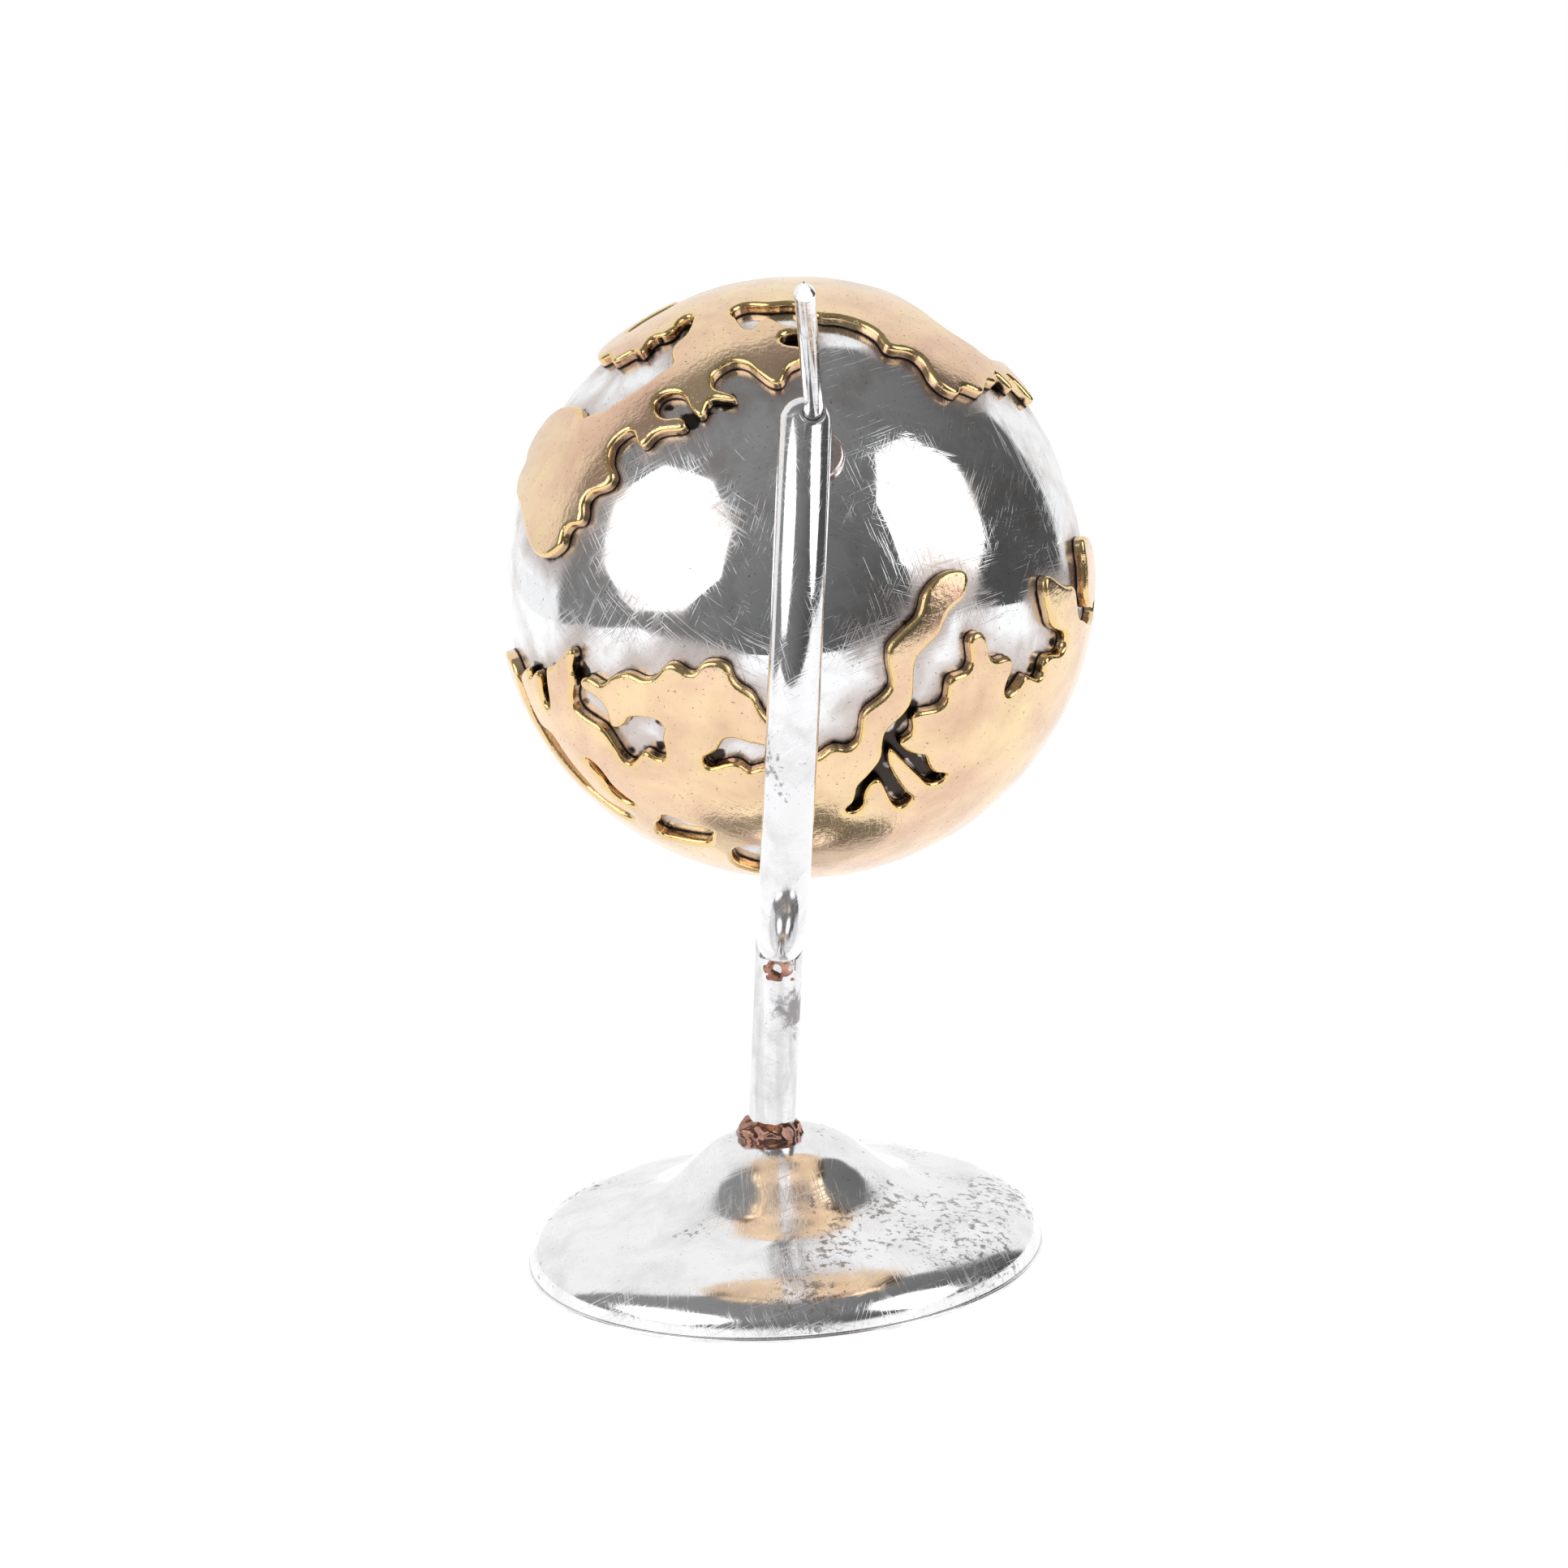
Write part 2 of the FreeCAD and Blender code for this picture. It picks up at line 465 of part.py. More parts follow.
# ---------------------------------------------------------------- land
def coast_directions(coast):
    """Unit vectors along a smooth closed curve through the coast's points."""
    ring = [map_direction(place) for place in coast]
    count = len(ring)
    smooth = []
    for index in range(count):
        before = ring[index - 1]
        start = ring[index]
        end = ring[(index + 1) % count]
        after = ring[(index + 2) % count]
        for step in range(COAST_STEPS):
            t = step / COAST_STEPS
            pull = start * 2 + (end - before) * t
            pull = pull + (before * 2 - start * 5 + end * 4 - after) * t ** 2
            pull = pull + (start * 3 - before - end * 3 + after) * t ** 3
            pull.normalize()
            smooth.append(pull)
    return smooth


def coast_wall(coast):
    """A closed ribbon of flat facets that point at the ball's centre."""
    inside = BALL_RADIUS - LAND_THICKNESS
    outside = BALL_RADIUS + LAND_THICKNESS * 2
    ring = coast_directions(coast)
    facets = []
    for index, here in enumerate(ring):
        there = ring[(index + 1) % len(ring)]
        corners = [here * inside, there * inside, there * outside, here * outside]
        facets.append(Part.Face(Part.makePolygon(corners + [corners[0]])))
    return facets


def land(coast, lakes, dry):
    """The piece of a brass shell that lies inside a coast and outside its lakes."""
    sheet = Part.makeSphere(BALL_RADIUS + LAND_THICKNESS)
    sheet = sheet.cut(Part.makeSphere(BALL_RADIUS))
    walls = []
    for shore in [coast] + lakes:
        walls.extend(coast_wall(shore))
    pieces = sheet.generalFuse([Part.makeCompound(walls)])[0]
    inside_point = map_direction(dry) * (BALL_RADIUS + LAND_THICKNESS / 2)
    for piece in pieces.Solids:
        if piece.isInside(inside_point, 1e-4, False):
            chosen = piece.copy()
    chosen.translate(ball_centre())
    return lean(chosen)


# ---------------------------------------------------------------- write every piece
def main():
    nodes = {
        "foot_shell": foot_shell(),
        "foot_plate": foot_plate(),
        "stem_tube": stem_tube(),
        "stem_braze_lower": stem_braze_lower(),
        "stem_braze_upper": stem_braze_upper(),
        "meridian_arm": meridian_arm(),
        "arm_bush_upper": arm_bush(1),
        "arm_bush_lower": arm_bush(-1),
        "axle": axle(),
        "globe_shell_upper": globe_half(1),
        "globe_shell_lower": globe_half(-1),
        "pole_washer_upper": pole_washer(1),
        "pole_washer_lower": pole_washer(-1),
        "thrust_sleeve": thrust_sleeve(),
        "land_upper": land(UPPER_LAND_COAST, [], UPPER_LAND_DRY),
        "land_lower": land(LOWER_LAND_COAST, LOWER_LAND_LAKES, LOWER_LAND_DRY),
        "land_right_isle": land(RIGHT_ISLE_COAST, [], RIGHT_ISLE_DRY),
        "land_far": land(FAR_LAND_COAST, FAR_LAND_LAKES, FAR_LAND_DRY),
        "land_tail": land(TAIL_LAND_COAST, [], TAIL_LAND_DRY),
    }
    for name, coast in SMALL_ISLES.items():
        nodes[name] = land(coast, [], ISLE_DRY[name])
    os.makedirs("parts", exist_ok=True)
    for name, shape in nodes.items():
        print(name, len(shape.Solids), "solid", shape.isValid(), round(shape.Volume, 2), "mm3")
        shape.exportStep("parts/" + name + ".step")


main()
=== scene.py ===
"""A small desk globe in metalwork: a mirror-polished silvered ball with raised brass land,
turning on a slanted axle in a round-bar arm, on a short stem and a spun bell foot.

Metres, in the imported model's own frame. Sizes are written in millimetres times MM.
"""

import json
import math
import random

import bmesh
import bpy
import numpy as np
from mathutils import Matrix, Vector, geometry, kdtree, noise


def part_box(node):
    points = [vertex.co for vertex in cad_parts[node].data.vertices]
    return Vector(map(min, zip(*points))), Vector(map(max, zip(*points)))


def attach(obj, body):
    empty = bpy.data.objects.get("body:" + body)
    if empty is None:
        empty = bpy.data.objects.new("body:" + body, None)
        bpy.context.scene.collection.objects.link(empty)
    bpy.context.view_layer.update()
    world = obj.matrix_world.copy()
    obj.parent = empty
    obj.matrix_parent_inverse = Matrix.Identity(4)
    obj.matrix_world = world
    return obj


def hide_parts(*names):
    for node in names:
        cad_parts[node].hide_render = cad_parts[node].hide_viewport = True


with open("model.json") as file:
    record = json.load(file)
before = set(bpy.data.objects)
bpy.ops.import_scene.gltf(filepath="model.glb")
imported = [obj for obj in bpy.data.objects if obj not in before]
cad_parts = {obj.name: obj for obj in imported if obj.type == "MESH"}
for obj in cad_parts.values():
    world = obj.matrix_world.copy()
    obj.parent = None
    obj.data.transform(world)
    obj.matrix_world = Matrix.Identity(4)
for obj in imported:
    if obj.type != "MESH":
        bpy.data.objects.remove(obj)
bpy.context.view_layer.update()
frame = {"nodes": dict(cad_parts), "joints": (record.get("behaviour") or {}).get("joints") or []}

# ============================================================ the view
# A long lens looks slightly down at the globe, a third of a metre away, and the
# camera is not quite level.
MM = 0.001
LENS_PITCH = math.radians(11.9)
LENS_ROLL = math.radians(-3.2)
LENS_PLACE = Vector((2.65, -343.73, 123.94)) * MM
LENS_MM = 76.4

lens = bpy.data.cameras.new("camera")
lens.lens = LENS_MM
lens.clip_start = 0.01
viewer = bpy.data.objects.new("camera", lens)
viewer.matrix_world = (
    Matrix.Translation(LENS_PLACE)
    @ Matrix.Rotation(math.radians(90) - LENS_PITCH, 4, "X")
    @ Matrix.Rotation(LENS_ROLL, 4, "Z")
)
bpy.context.scene.collection.objects.link(viewer)
bpy.context.scene.camera = viewer
bpy.context.scene.view_settings.view_transform = "Standard"

# ============================================================ the studio
# A white table that ends a hand's length in front of the globe, a white sweep behind
# it, a dim room on the near side, and two eight-sided soft lights.
TABLE_FRONT = -0.215
TABLE_BACK = 3.0
TABLE_HALF = 0.43
TABLE_SPREAD = 1.1            # from here back the table widens into the sweep
SWEEP_START = TABLE_SPREAD * 1.5
SWEEP_HALF = 2.5
TABLE_GLOW = 0.88             # the table is lit from under as well as from above
SWEEP_WHITE = 0.96
ROOM_GREY = (0.085, 0.27)     # on the far side from the room's window, and towards it
ROOM_SPAN = (-0.6, 0.9)       # how far round those two greys lie
ROOM_WINDOW = Vector((-0.75, 0, 0.66))
SWEEP_WAY = Vector((-0.19, 0.972, 0.135))
SWEEP_EDGE = 0.4525
SWEEP_BLUR = 0.02
LIGHT_DISTANCE = 0.8
SOFT_LIGHTS = {
    "soft_light_left": (-55, 21, 28, 26),
    "soft_light_right": (61, 23, 21.5, 29),
}
SOFT_LIGHT_POWER = 1.8

spin = frame["joints"][0]
ball_middle = Vector(spin["pos_m"])
axle_way = Vector(spin["axis"]).normalized()


def new_material(name):
    """A node material, its node tree and its Principled shader."""
    material = bpy.data.materials.new(name)
    material.use_nodes = True
    shader = material.node_tree.nodes["Principled BSDF"]
    return material, material.node_tree, shader


def mesh_piece(name, points, faces, material=None, smooth=True):
    mesh = bpy.data.meshes.new(name)
    mesh.from_pydata([tuple(point) for point in points], [], faces)
    mesh.polygons.foreach_set("use_smooth", [smooth] * len(mesh.polygons))
    if material:
        mesh.materials.append(material)
    mesh.update()
    piece = bpy.data.objects.new(name, mesh)
    bpy.context.scene.collection.objects.link(piece)
    return piece


table_white, _, shader = new_material("table_white")
shader.inputs["Base Color"].default_value = (0.30, 0.30, 0.31, 1)
shader.inputs["Roughness"].default_value = 0.7
shader.inputs["Emission Color"].default_value = (1.0, 1.0, 1.0, 1)
shader.inputs["Emission Strength"].default_value = TABLE_GLOW
corners = [
    (-TABLE_HALF, TABLE_FRONT, 0), (TABLE_HALF, TABLE_FRONT, 0),
    (TABLE_HALF, TABLE_SPREAD, 0), (SWEEP_HALF, SWEEP_START, 0),
    (SWEEP_HALF, TABLE_BACK, 0), (-SWEEP_HALF, TABLE_BACK, 0),
    (-SWEEP_HALF, SWEEP_START, 0), (-TABLE_HALF, TABLE_SPREAD, 0),
]
slab = [(0, 1, 2, 7), (7, 2, 3, 6), (6, 3, 4, 5)]
mesh_piece("table", corners, slab, table_white, smooth=False)

light_cloth = bpy.data.materials.new("light_cloth")
light_cloth.use_nodes = True
light_cloth.node_tree.nodes.remove(light_cloth.node_tree.nodes["Principled BSDF"])
glow = light_cloth.node_tree.nodes.new("ShaderNodeEmission")
glow.inputs["Strength"].default_value = SOFT_LIGHT_POWER
output = light_cloth.node_tree.nodes["Material Output"]
light_cloth.node_tree.links.new(glow.outputs["Emission"], output.inputs["Surface"])
for name, (turn, rise, half_wide, half_tall) in SOFT_LIGHTS.items():
    turn = math.radians(turn)
    rise = math.radians(rise)
    way = Vector((math.sin(turn) * math.cos(rise), -math.cos(turn) * math.cos(rise), math.sin(rise)))
    wide_way = Vector((0, 0, 1)).cross(way).normalized()
    tall_way = way.cross(wide_way)
    centre = ball_middle + way * LIGHT_DISTANCE
    ring = []
    for corner in range(8):
        angle = math.radians(22.5 + 45 * corner)
        across = wide_way * math.cos(angle) * math.tan(math.radians(half_wide))
        up = tall_way * math.sin(angle) * math.tan(math.radians(half_tall))
        ring.append(centre + (across + up) * LIGHT_DISTANCE)
    light = mesh_piece(name, ring, [tuple(range(8))], light_cloth, smooth=False)
    light.visible_camera = False

room = bpy.data.worlds.new("room")
bpy.context.scene.world = room
room.use_nodes = True
sky = room.node_tree
sky.nodes.clear()
way = sky.nodes.new("ShaderNodeTexCoord")
toward_sweep = sky.nodes.new("ShaderNodeVectorMath")
toward_sweep.operation = "DOT_PRODUCT"
toward_sweep.inputs[1].default_value = SWEEP_WAY
edge = sky.nodes.new("ShaderNodeMapRange")
edge.inputs["From Min"].default_value = SWEEP_EDGE - SWEEP_BLUR
edge.inputs["From Max"].default_value = SWEEP_EDGE + SWEEP_BLUR
edge.inputs["To Max"].default_value = SWEEP_WHITE
toward_window = sky.nodes.new("ShaderNodeVectorMath")
toward_window.operation = "DOT_PRODUCT"
toward_window.inputs[1].default_value = ROOM_WINDOW
walls = sky.nodes.new("ShaderNodeMapRange")
walls.inputs["From Min"].default_value = ROOM_SPAN[0]
walls.inputs["From Max"].default_value = ROOM_SPAN[1]
walls.inputs["To Min"].default_value = ROOM_GREY[0]
walls.inputs["To Max"].default_value = ROOM_GREY[1]
lit = sky.nodes.new("ShaderNodeBackground")
lit.inputs["Color"].default_value = (1, 1, 1, 1)
plain = sky.nodes.new("ShaderNodeBackground")
plain.inputs["Color"].default_value = (1, 1, 1, 1)
ray = sky.nodes.new("ShaderNodeLightPath")
choose = sky.nodes.new("ShaderNodeMixShader")
output = sky.nodes.new("ShaderNodeOutputWorld")
sky.links.new(way.outputs["Generated"], toward_sweep.inputs[0])
sky.links.new(way.outputs["Generated"], toward_window.inputs[0])
sky.links.new(toward_window.outputs["Value"], walls.inputs["Value"])
sky.links.new(walls.outputs["Result"], edge.inputs["To Min"])
sky.links.new(toward_sweep.outputs["Value"], edge.inputs["Value"])
sky.links.new(edge.outputs["Result"], lit.inputs["Strength"])
sky.links.new(ray.outputs["Is Camera Ray"], choose.inputs["Fac"])
sky.links.new(lit.outputs["Background"], choose.inputs[1])
sky.links.new(plain.outputs["Background"], choose.inputs[2])
sky.links.new(choose.outputs["Shader"], output.inputs["Surface"])

# ============================================================ the bell foot
# The foot is one disc of sheet, spun on a lathe into a low bell and silver plated. Its
# flank sweeps down from a small flat top to a round rim, with the slight waves of spinning.
BELL_OUTLINE = [
    (0.0, 1.0), (0.10, 0.998), (0.19, 0.985), (0.27, 0.915), (0.34, 0.80), (0.41, 0.665),
    (0.48, 0.555), (0.56, 0.48), (0.65, 0.435), (0.75, 0.395), (0.84, 0.35), (0.91, 0.29),
    (0.96, 0.215), (0.99, 0.12), (1.0, 0.0),
]
BELL_TURNS = 288
BELL_STEPS = 6
SPINNING_WAVE = 0.035 * MM
foot_low, foot_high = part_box("foot_shell")
foot_radius = (foot_high.x - foot_low.x) / 2
foot_sheet = 0.9 * MM


def smooth_line(points, steps):
    """Points along a Catmull-Rom curve through the given points."""
    points = [Vector(point) for point in points]
    ends = [points[0] * 2 - points[1]] + points + [points[-1] * 2 - points[-2]]
    line = []
    for index in range(1, len(ends) - 2):
        before, start, end, after = ends[index - 1:index + 3]
        for step in range(steps):
            t = step / steps
            pull = start * 2 + (end - before) * t
            pull = pull + (before * 2 - start * 5 + end * 4 - after) * t ** 2
            pull = pull + (start * 3 - before - end * 3 + after) * t ** 3
            line.append(pull / 2)
    return line + [points[-1]]


def face_outwards(mesh, join=0.0):
    """Turn a closed mesh's faces outwards, once points closer than join are made one."""
    shell = bmesh.new()
    shell.from_mesh(mesh)
    if join:
        bmesh.ops.remove_doubles(shell, verts=shell.verts, dist=join)
    bmesh.ops.recalc_face_normals(shell, faces=shell.faces)
    shell.to_mesh(mesh)
    shell.free()


def turned(name, outline, turns, material, place=Matrix(), shift=None):
    """A lathe-turned piece: (radius, height) points swung round the local Z axis, closed
    where they meet the axis. shift moves each point by a small amount of its own."""
    points = []
    rings = []
    for radius, height in outline:
        if radius < 1e-7:
            rings.append([len(points)])
            points.append(Vector((0, 0, height)))
            continue
        rings.append(list(range(len(points), len(points) + turns)))
        for turn in range(turns):
            angle = 2 * math.pi * turn / turns
            points.append(Vector((radius * math.cos(angle), radius * math.sin(angle), height)))
    faces = []
    closed = outline[0][0] >= 1e-7 and outline[-1][0] >= 1e-7
    pairs = list(zip(rings, rings[1:])) + ([(rings[-1], rings[0])] if closed else [])
    for upper, lower in pairs:
        for turn in range(turns):
            after = (turn + 1) % turns
            if len(upper) == 1:
                faces.append((upper[0], lower[turn], lower[after]))
            elif len(lower) == 1:
                faces.append((upper[turn], lower[0], upper[after]))
            else:
                faces.append((upper[turn], lower[turn], lower[after], upper[after]))
    if shift:
        points = [point + shift(point) for point in points]
    piece = mesh_piece(name, [place @ point for point in points], faces, material)
    face_outwards(piece.data)
    return piece


def node_group(name, inputs, outputs):
    """An empty shader node group with named sockets, and its two end nodes."""
    group = bpy.data.node_groups.new(name, "ShaderNodeTree")
    for label, kind, value in inputs:
        socket = group.interface.new_socket(label, in_out="INPUT", socket_type=kind)
        if value is not None:
            socket.default_value = value
    for label, kind in outputs:
        group.interface.new_socket(label, in_out="OUTPUT", socket_type=kind)
    return group, group.nodes.new("NodeGroupInput"), group.nodes.new("NodeGroupOutput")


def noise_node(tree, place, scale, detail=4.0, warp=0.0, roughness=0.5):
    """Noise over a place, its scale in lumps to the metre."""
    texture = tree.nodes.new("ShaderNodeTexNoise")
    tree.links.new(place, texture.inputs["Vector"])
    texture.inputs["Scale"].default_value = scale
    texture.inputs["Detail"].default_value = detail
    texture.inputs["Distortion"].default_value = warp
    texture.inputs["Roughness"].default_value = roughness
    return texture


def remap(tree, source, low, high, to_low=0.0, to_high=1.0):
    """Stretch a value from one range to another, held inside the second."""
    node = tree.nodes.new("ShaderNodeMapRange")
    node.inputs["From Min"].default_value = low
    node.inputs["From Max"].default_value = high
    node.inputs["To Min"].default_value = to_low
    node.inputs["To Max"].default_value = to_high
    tree.links.new(source, node.inputs["Value"])
    return node.outputs["Result"]


def combine(tree, how, first, second):
    """A Math node on two sockets or numbers."""
    node = tree.nodes.new("ShaderNodeMath")
    node.operation = how
    for slot, value in enumerate((first, second)):
        if isinstance(value, (int, float)):
            node.inputs[slot].default_value = value
        else:
            tree.links.new(value, node.inputs[slot])
    return node.outputs[0]


def scaled(tree, source, share):
    return combine(tree, "MULTIPLY", source, share)


def added(tree, first, *others):
    """The sum of two or more sockets or numbers."""
    for other in others:
        first = combine(tree, "ADD", first, other)
    return first


def blend_colour(tree, share, first, second):
    """Mix two colours, each a socket or an (r, g, b), by a share."""
    node = tree.nodes.new("ShaderNodeMix")
    node.data_type = "RGBA"
    tree.links.new(share, node.inputs["Factor"])
    for label, value in (("A", first), ("B", second)):
        socket = [s for s in node.inputs if s.name == label and s.type == "RGBA"][0]
        if isinstance(value, tuple):
            socket.default_value = value + (1,)
        else:
            tree.links.new(value, socket)
    return [s for s in node.outputs if s.type == "RGBA"][0]


HAIRLINE_SETS = (             # each set's two turns, and how fine it is
    (0.5, 0.35, 5600), (-0.6, 1.15, 7300), (0.4, 1.95, 6200), (-0.3, 2.7, 8400),
)


def hairline_group():
    """Fine polishing hairlines, broken and crossing. Place, Fineness and Share in, Lines out."""
    group, start, end = node_group(
        "hairlines",
        [("Place", "NodeSocketVector", None), ("Fineness", "NodeSocketFloat", 1.0),
         ("Share", "NodeSocketFloat", 0.5)],
        [("Lines", "NodeSocketFloat")],
    )
    total = None
    for tip, turn, scale in HAIRLINE_SETS:
        turned_place = group.nodes.new("ShaderNodeMapping")
        turned_place.inputs["Rotation"].default_value = (tip, turn, 0)
        group.links.new(start.outputs["Place"], turned_place.inputs["Vector"])
        place = group.nodes.new("ShaderNodeMapping")
        place.inputs["Scale"].default_value = (1.0, 0.03, 0.03)
        group.links.new(turned_place.outputs["Vector"], place.inputs["Vector"])
        bend = noise_node(group, start.outputs["Place"], 70, 1.0)
        wander = group.nodes.new("ShaderNodeVectorMath")
        wander.operation = "MULTIPLY_ADD"
        wander.inputs[1].default_value = (0.002, 0.0002, 0.0002)
        group.links.new(bend.outputs["Color"], wander.inputs[0])
        group.links.new(place.outputs["Vector"], wander.inputs[2])
        lines = noise_node(group, wander.outputs["Vector"], scale, 2.0)
        fineness = scaled(group, start.outputs["Fineness"], scale)
        group.links.new(fineness, lines.inputs["Scale"])
        thin = remap(group, lines.outputs["Fac"], 0.58, 0.66)
        patch = noise_node(group, start.outputs["Place"], scale * 0.022, 2.0)
        broken = scaled(group, thin, remap(group, patch.outputs["Fac"], 0.42, 0.60))
        total = broken if total is None else combine(group, "MAXIMUM", total, broken)
    group.links.new(scaled(group, total, start.outputs["Share"]), end.inputs["Lines"])
    return group


def tarnish_group():
    """Oxide on metal. Film is a faint cloud, Specks are fine flecks, and Spots are ragged
    dark clusters. Place, Coarse and Amount in."""
    group, start, end = node_group(
        "tarnish",
        [("Place", "NodeSocketVector", None), ("Coarse", "NodeSocketFloat", 120.0),
         ("Amount", "NodeSocketFloat", 0.3)],
        [("Film", "NodeSocketFloat"), ("Specks", "NodeSocketFloat"), ("Spots", "NodeSocketFloat")],
    )
    place = start.outputs["Place"]
    amount = start.outputs["Amount"]
    cloud = noise_node(group, place, 120, 5.0, 0.3, 0.6)
    region = noise_node(group, place, 70, 2.0)
    ragged = noise_node(group, place, 1100, 5.0, 0.2, 0.7)
    dust = noise_node(group, place, 3200, 2.0)
    group.links.new(start.outputs["Coarse"], cloud.inputs["Scale"])
    level = added(group, cloud.outputs["Fac"], amount)
    area = remap(group, added(group, region.outputs["Fac"], amount), 0.72, 0.86)
    cluster = added(group, ragged.outputs["Fac"], scaled(group, area, 0.16))
    fleck = added(group, dust.outputs["Fac"], scaled(group, amount, 0.10))
    group.links.new(remap(group, level, 0.66, 0.98), end.inputs["Film"])
    group.links.new(remap(group, fleck, 0.70, 0.77), end.inputs["Specks"])
    group.links.new(remap(group, cluster, 0.68, 0.74), end.inputs["Spots"])
    return group


hairlines = hairline_group()
tarnish = tarnish_group()


def use_group(tree, group, place, **values):
    """Place a node group in a material, fed with a place and its own numbers."""
    node = tree.nodes.new("ShaderNodeGroup")
    node.node_tree = group
    tree.links.new(place, node.inputs["Place"])
    for label, value in values.items():
        if isinstance(value, (int, float)):
            node.inputs[label].default_value = value
        else:
            tree.links.new(value, node.inputs[label])
    return node


def bump(tree, shader, height, depth, strength=1.0):
    """Raise a finish's skin by a height, in metres where the height is 1."""
    node = tree.nodes.new("ShaderNodeBump")
    node.inputs["Strength"].default_value = strength
    node.inputs["Distance"].default_value = depth
    tree.links.new(height, node.inputs["Height"])
    tree.links.new(node.outputs["Normal"], shader.inputs["Normal"])


def silver_plate(name, film_colour, amount, coarse, gloss, scratch_share, shade=1.0):
    """Polished silver plate with hairlines, a faint film, and flecks and spots of oxide."""
    material, tree, shader = new_material(name)
    place = tree.nodes.new("ShaderNodeTexCoord").outputs["Object"]
    shader.inputs["Metallic"].default_value = 1.0
    cloud = use_group(tree, tarnish, place, Coarse=coarse, Amount=amount)
    lines = use_group(tree, hairlines, place, Fineness=1.0, Share=scratch_share)
    plain = tuple(level * shade for level in (0.91, 0.91, 0.92))
    clean = blend_colour(tree, lines.outputs["Lines"], plain, (0.98, 0.98, 1.0))
    film = scaled(tree, cloud.outputs["Film"], 0.5)
    specks = scaled(tree, cloud.outputs["Specks"], 0.6)
    spots = scaled(tree, cloud.outputs["Spots"], 0.8)
    filmed = blend_colour(tree, film, clean, film_colour)
    specked = blend_colour(tree, specks, filmed, (0.35, 0.31, 0.29))
    spotted = blend_colour(tree, spots, specked, (0.30, 0.28, 0.27))
    tree.links.new(spotted, shader.inputs["Base Color"])
    dull = added(
        tree, scaled(tree, cloud.outputs["Film"], 0.12), scaled(tree, cloud.outputs["Spots"], 0.25),
        scaled(tree, lines.outputs["Lines"], 0.18), gloss,
    )
    tree.links.new(dull, shader.inputs["Roughness"])
    bump(tree, shader, lines.outputs["Lines"], 0.005 * MM)
    return material


foot_silver = silver_plate("foot_silver", (0.60, 0.58, 0.57), 0.24, 170, 0.09, 1.0)


def spinning_wave(point):
    ripple = noise.noise(Vector((point.z * 900, point.xy.length * 420, 3.0)))
    return Vector((point.x, point.y, 0)).normalized() * ripple * SPINNING_WAVE


outer = [
    (foot_radius * across, foot_low.z + (foot_high.z - foot_low.z) * up)
    for across, up in BELL_OUTLINE
]
outer = [tuple(point) for point in smooth_line(outer, BELL_STEPS)]
inner = [
    (max(radius - foot_sheet, 0), max(height - foot_sheet, foot_low.z))
    for radius, height in reversed(outer[::3])
    if radius > foot_sheet * 1.2
]
inner.append((0, foot_high.z - foot_sheet))
bell = turned("bell_foot", outer + inner, BELL_TURNS, foot_silver, shift=spinning_wave)
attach(bell, "stand")
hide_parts("foot_shell")

# ============================================================ the closing disc
# A thin flat disc closes the bell from below. It stands out a hair past the rim, and its
# rubbed edge shows as a bright lip all round.
DISC_EDGE = 0.18 * MM
disc_low, disc_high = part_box("foot_plate")
disc_radius = (disc_high.x - disc_low.x) / 2
disc_flat = disc_radius - DISC_EDGE


def round_edge(across, height, edge, turns):
    """Points round a turned piece's edge, at turns in degrees about the round's middle."""
    ways = [math.radians(turn) for turn in turns]
    return [(across + edge * math.cos(way), height + edge * math.sin(way)) for way in ways]


disc_outline = [(0, disc_high.z), (disc_flat, disc_high.z)]
disc_outline += round_edge(disc_flat, disc_high.z - DISC_EDGE, DISC_EDGE, range(72, -1, -18))
disc_outline += round_edge(disc_flat, disc_low.z + DISC_EDGE, DISC_EDGE, range(0, -91, -18))
disc_outline += [(disc_radius * 0.5, disc_low.z), (0, disc_low.z)]
disc_silver = silver_plate("disc_silver", (0.50, 0.46, 0.43), 0.18, 240, 0.16, 0.6)
disc = turned("foot_disc", disc_outline, BELL_TURNS, disc_silver)
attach(disc, "stand")
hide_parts("foot_plate")

# ============================================================ the stem
# A short length of tube stands on the foot and leans to one side. Its top is filed to a
# saddle that takes the arm's bend. Its plate has grey streaks along its length, partly rubbing
# and partly painted reflection, and a dark mottled patch of painted shade low on its right front.
STEM_LEAN = math.radians(5.55)
STEM_RADIUS = 2.55 * MM
STEM_WALL = 1.0 * MM
ARM_OUTSIDE = 40.0 * MM
BAR_RADIUS = 2.5 * MM
BELL_SINK = 0.9 * MM
STEM_TOP = -ARM_OUTSIDE + 1.5 * MM
# Where the patch of painted shade on the stem is darkest.
SHADE_PATCH_SPOT = Vector((1.9, -1.7, -46.0)) * MM
stand_place = Matrix.Translation(ball_middle) @ Matrix.Rotation(STEM_LEAN, 4, "Y")
foot_top = (ball_middle.z - foot_high.z) / math.cos(STEM_LEAN)


def saddle(point):
    """Let the tube's top edge dip to the bend's round flanks, as a file leaves it."""
    if point.z < -ARM_OUTSIDE - 0.2 * MM:
        return Vector((0, 0, 0))
    angle = math.atan2(point.y, point.x)
    return Vector((0, 0, 0.25 * MM * math.sin(angle * 3 + 1) - 0.9 * MM * abs(math.sin(angle))))


